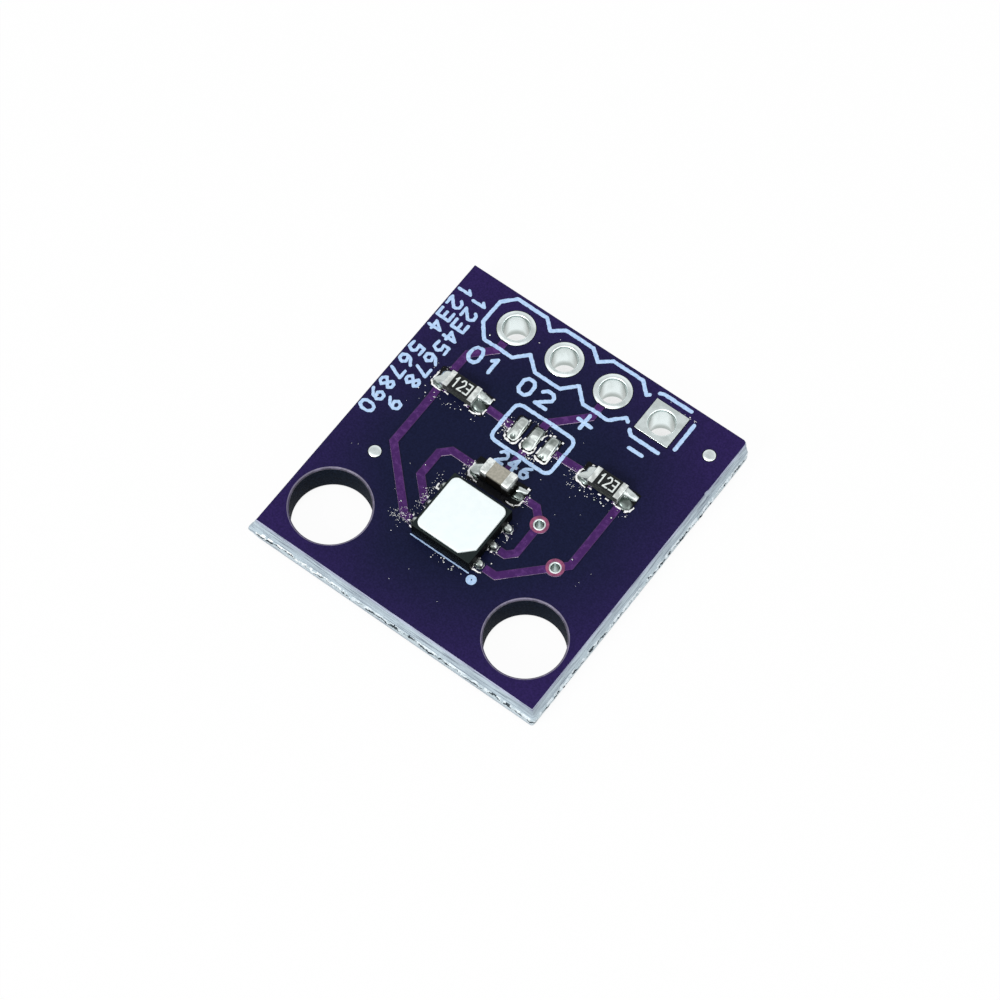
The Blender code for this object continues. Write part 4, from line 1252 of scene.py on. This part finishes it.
# middle of a patch, its spread along X and Y, its count and the size of its larger specks
speckPatches = [
    ((-1.30, 2.05), (0.30, 0.45), 46, 0.026), ((0.30, 1.48), (0.24, 0.14), 26, 0.026),
    ((1.15, 2.15), (0.12, 0.18), 12, 0.024), ((-0.10, 2.95), (0.70, 0.10), 12, 0.018),
    ((2.45, 2.05), (0.46, 0.60), 64, 0.020), ((3.40, 1.60), (0.60, 0.15), 14, 0.026),
    ((-4.95, 2.30), (0.42, 0.60), 48, 0.024), ((-4.10, 1.55), (0.90, 0.30), 22, 0.020),
    ((-2.65, 1.75), (0.20, 0.35), 8, 0.018), ((-1.50, -0.45), (0.34, 0.42), 44, 0.022),
    ((1.35, -0.20), (0.20, 0.35), 20, 0.026), ((4.95, 1.95), (0.25, 0.35), 10, 0.022),
    ((-2.15, -2.60), (0.24, 1.20), 100, 0.016), ((-2.50, -3.85), (0.34, 0.28), 75, 0.010),
    ((1.75, -2.20), (0.18, 0.9), 18, 0.030), ((0.10, -4.45), (0.9, 0.12), 16, 0.030),
    ((4.72, 7.00), (0.4, 0.08), 10, 0.030), ((0, 0), (6.6, 6.9), 42, 0.010),
]
ballLook = {"rings": 9, "segments": 16, "lift": 0.8}
# middle and radius of each ball
solderBalls = [
    (2.86, 1.53, 0.05), (3.60, 1.53, 0.055), (3.92, 1.57, 0.045), (4.67, 1.26, 0.05), (4.50, -1.23, 0.04),
    (0.65, -4.60, 0.035), (0.78, -4.55, 0.04), (-3.0, -1.37, 0.03), (-2.8, -3.3, 0.035), (-4.55, 5.17, 0.045),
]


# Jagged lines of flux along a share of a route, thicker and thinner as they go, white as a painted highlight
def fluxHighlightTube(corners, seed, share):
    route = steppedRoute(corners, fluxLook["step"])
    rings, shapes = [], []
    low, high = fluxLook["radius"]
    for i, (x, y) in enumerate(route):
        swell = ripple(i * 0.15 + seed, seed, 0.5)
        if swell > share - 0.5:
            if len(rings) > 2:
                shapes.append(skin(rings))
            rings = []
            continue
        ahead, behind = route[min(i + 1, len(route) - 1)], route[max(i - 1, 0)]
        along = Vector((ahead[0] - behind[0], ahead[1] - behind[1])).normalized()
        shift = fluxLook["jitter"] * (ripple(i * 0.10, seed, 2.5) + 0.15 * ripple(i * 0.40, seed, 7.1))
        x, y = x - along.y * shift, y + along.x * shift
        belly = math.sin(math.pi * (i + 0.5) / len(route))
        radius = low + (high - low) * belly * min(1.0, max(0.0, 0.75 + ripple(i * 0.16, seed, 4.2) * 1.2))
        z = groundAt(x, y, 0.02) + radius * fluxLook["lift"]
        ring = []
        for k in range(fluxLook["sides"]):
            turn = 2 * math.pi * k / fluxLook["sides"]
            across, rise = math.cos(turn) * radius, math.sin(turn) * radius * fluxLook["flat"]
            ring.append((x - along.y * across, y + along.x * across, z + rise))
        rings.append(ring)
    if len(rings) > 2:
        shapes.append(skin(rings))
    return shapes


def steppedRoute(corners, step):
    route = []
    for a, b in zip(corners, corners[1:]):
        count = max(1, round(math.dist(a, b) / step))
        route += [(a[0] + (b[0] - a[0]) * i / count, a[1] + (b[1] - a[1]) * i / count) for i in range(count)]
    return route + [corners[-1]]


def speck(x, y, z, radius):
    points = []
    for dx, dy, dz in ((1, 0, 0), (0, 1, 0), (-1, 0, 0), (0, -1, 0), (0, 0, 1), (0, 0, -1)):
        size = radius * draw.uniform(*speckLook["sizes"])
        points.append((x + dx * size, y + dy * size, z + dz * size * speckLook["flat"]))
    return points, [(0, 1, 4), (1, 2, 4), (2, 3, 4), (3, 0, 4), (1, 0, 5), (2, 1, 5), (3, 2, 5), (0, 3, 5)]


def ball(x, y, z, radius):
    rings = []
    for i in range(ballLook["rings"]):
        a = math.pi * (i + 0.5) / ballLook["rings"]
        rings.append(ringOf((x, y), radius * math.sin(a), z - radius * math.cos(a), ballLook["segments"]))
    return skin(rings)


# Routes of flux round a land, each with the share of it that shows; the fuller front routes carry the painted
# highlight
def highlightRimRoutes(name, left, front, right, back):
    middle, tall = (front + back) / 2, back - front
    frontLeft, frontRight = (left, front + 0.16), (right, front + 0.14)
    if name.startswith("jumper"):
        return [
            ([(left, front + tall * 0.42), (left + 0.03, front + 0.08), (left + 0.12, front),
              (right - 0.12, front), (right - 0.03, front + 0.08), (right, front + tall * 0.35)], 1.0),
            ([(left, middle), (left, back), (right, back), (right, middle)], 0.24),
        ]
    if name.startswith("sensor"):
        return [([(left, back), (left, front), (right, front)], 0.5)]
    if name.endswith("left"):
        return [
            ([(left + 0.02, middle + 0.1), frontLeft, (left + 0.14, front), (right, front - 0.02)], 1.0),
            ([(left, middle), (left + 0.05, back - 0.06), (right, back - 0.06)], 0.18),
        ]
    return [
        ([(left, front - 0.02), (right - 0.16, front), frontRight, (right + 0.02, middle - 0.1)], 1.0),
        ([(left, back - 0.03), (right, back - 0.05), (right, middle)], 0.22),
    ]


print("building the flux and the specks")
draw = random.Random(speckLook["seed"])
highlightRims = []
for name in solderNames:
    (left, front), (right, back) = landBox(name, fluxLook["gap"])
    seed = 1.7 * len(highlightRims)
    for k, (corners, share) in enumerate(highlightRimRoutes(name, left, front, right, back)):
        highlightRims += fluxHighlightTube(corners, seed + 5.3 * k, share)
for name in ("resistor_left_ceramic", "resistor_right_ceramic"):
    (left, front, _), (right, _, _) = boxOf(name)
    front -= fluxLook["frontGap"]
    highlightRims += fluxHighlightTube([(left, front), (right, front)], left, 0.40)
addPiece("fluxRims", *gather(highlightRims), [fluxWhiteAndHighlight], smooth=60)

(packageLeft, packageFront), (packageRight, packageBack) = landBox("sensor_package", 0)
speckShapes = []
for (cx, cy), (sx, sy), count, large in speckPatches:
    for _ in range(count):
        x = cx + sx * draw.gauss(0, speckLook["spread"])
        y = cy + sy * draw.gauss(0, speckLook["spread"])
        under = packageLeft < x < packageRight and packageFront < y < packageBack
        outside = abs(x) > speckLook["halfWidth"] or abs(y) > speckLook["halfLength"]
        if under or outside or any(math.dist((x, y), c) < speckLook["holeRadius"] for c in boardCut["holes"]):
            continue
        radius = speckLook["smallest"] + large * draw.random() ** speckLook["rarity"]
        speckShapes.append(speck(x, y, groundAt(x, y, 0.01) + radius * speckLook["lift"], radius))
addPiece("fluxSpecks", *gather(speckShapes), [fluxWhiteAndHighlight])
balls = [ball(x, y, groundAt(x, y, 0.01) + r * ballLook["lift"], r) for x, y, r in solderBalls]
addPiece("solderBalls", *gather(balls), [reflowedSolder], "solder", smooth=80)


# Floor, light and camera

stageLook = {
    "floorColour": (0.90, 0.90, 0.90), "floorGlow": 0.965, "floorHalf": 3, "floorDrop": 2e-5,
    "shade": 0.24, "shadeReach": 1.2, "world": 0.64,
    # how far a direction leans to the front and up, from 0 to 1, and the brightness of the room there
    "lean": (0.0, -0.60, 0.80),
    "room": [(0.0, 0.45), (0.42, 0.95), (0.60, 0.85), (0.74, 0.62), (0.82, 0.66), (0.90, 1.60), (1.0, 2.0)],
    # power, size and place of each soft lamp, and the place that they light
    "lamps": {
        "keySoftbox": (0.70, 0.12, (-0.06, -0.30, 0.26)), "fillSoftbox": (0.32, 0.26, (0.34, 0.02, 0.20)),
    },
    "lit": (0, 0, 0.001),
}


# The camera, mirrored and refracted rays
def rayKinds(wire):
    return [wire.node("LightPath", None, None, out) for out in (0, 3, 6)]


def makeFloor():
    made = bpy.data.materials.new("pale floor")
    made.use_nodes = True
    tree = made.node_tree
    tree.nodes.clear()
    wire = Wire(tree)
    camera, mirrored, refracted = rayKinds(wire)
    # deep in a narrow hole the floor keeps more of the shadow
    openness = wire.node("AmbientOcclusion", {"samples": 8}, {"Distance": stageLook["shadeReach"] * mm}, 1)
    shade = openness.between(0.42, 0.22) * stageLook["shade"]
    seen = (camera + mirrored + refracted) * stageLook["floorGlow"] - camera * shade
    paint = wire.node("BsdfDiffuse", None, {"Color": stageLook["floorColour"]})
    glow = wire.node("Emission", None, {"Color": (1, 1, 1), "Strength": 1.0})
    mixed = wire.node("MixShader", None, {0: seen, 1: paint, 2: glow})
    wire.node("OutputMaterial", None, {0: mixed})
    mesh = bpy.data.meshes.new("floor")
    half, drop = stageLook["floorHalf"], -stageLook["floorDrop"]
    mesh.from_pydata([(-half, -half, drop), (half, -half, drop), (half, half, drop), (-half, half, drop)], [],
                     [(0, 1, 2, 3)])
    mesh.materials.append(made)
    floor = bpy.data.objects.new("floor", mesh)
    bpy.context.scene.collection.objects.link(floor)


def makeWorld():
    world = bpy.data.worlds.new("soft room")
    bpy.context.scene.world = world
    world.use_nodes = True
    tree = world.node_tree
    tree.nodes.clear()
    wire = Wire(tree)
    camera, mirrored, refracted = rayKinds(wire)
    direction = wire.node("TexCoord", None, None, 0)
    lean = wire.node("VectorMath", {"operation": "DOT_PRODUCT"}, {0: direction, 1: stageLook["lean"]}, 1)
    lean = lean * 0.5 + 0.5
    stops = [(place, (bright,) * 3) for place, bright in stageLook["room"]]
    pale = wire.node("ValToRGB", {"stops": stops}, {0: lean})
    around = (mirrored + refracted).blend((stageLook["world"],) * 3, pale)
    colour = camera.blend(around, (1.0, 1.0, 1.0))
    back = wire.node("Background", None, {"Color": colour, "Strength": 1.0})
    wire.node("OutputWorld", None, {0: back})


def addSoftbox(name, power, size, place):
    light = bpy.data.lights.new(name, "AREA")
    light.energy = power
    light.size = size
    lamp = bpy.data.objects.new(name, light)
    lamp.location = place
    lamp.rotation_euler = (Vector(stageLook["lit"]) - Vector(place)).to_track_quat("-Z", "Y").to_euler()
    bpy.context.scene.collection.objects.link(lamp)


cameraLook = {
    "place": (0.040030, -0.051619, 0.134357), "lens": 127.78, "sensor": 36, "clip": (0.005, 20),
    "right": (0.80014, 0.59975, -0.00893), "down": (0.53646, -0.72221, -0.43661),
    "forward": (-0.26831, 0.34456, -0.89960),
}


def addCamera():
    right, down, forward = (Vector(cameraLook[key]) for key in ("right", "down", "forward"))
    turn = Matrix((right, -down, -forward)).transposed().to_4x4()
    data = bpy.data.cameras.new("camera")
    data.lens = cameraLook["lens"]
    data.sensor_width = cameraLook["sensor"]
    data.clip_start, data.clip_end = cameraLook["clip"]
    camera = bpy.data.objects.new("camera", data)
    camera.matrix_world = Matrix.Translation(cameraLook["place"]) @ turn
    bpy.context.scene.collection.objects.link(camera)
    bpy.context.scene.camera = camera


print("setting the stage")
makeFloor()
makeWorld()
for name, lamp in stageLook["lamps"].items():
    addSoftbox(name, *lamp)
addCamera()
bpy.context.scene.view_settings.view_transform = "Standard"
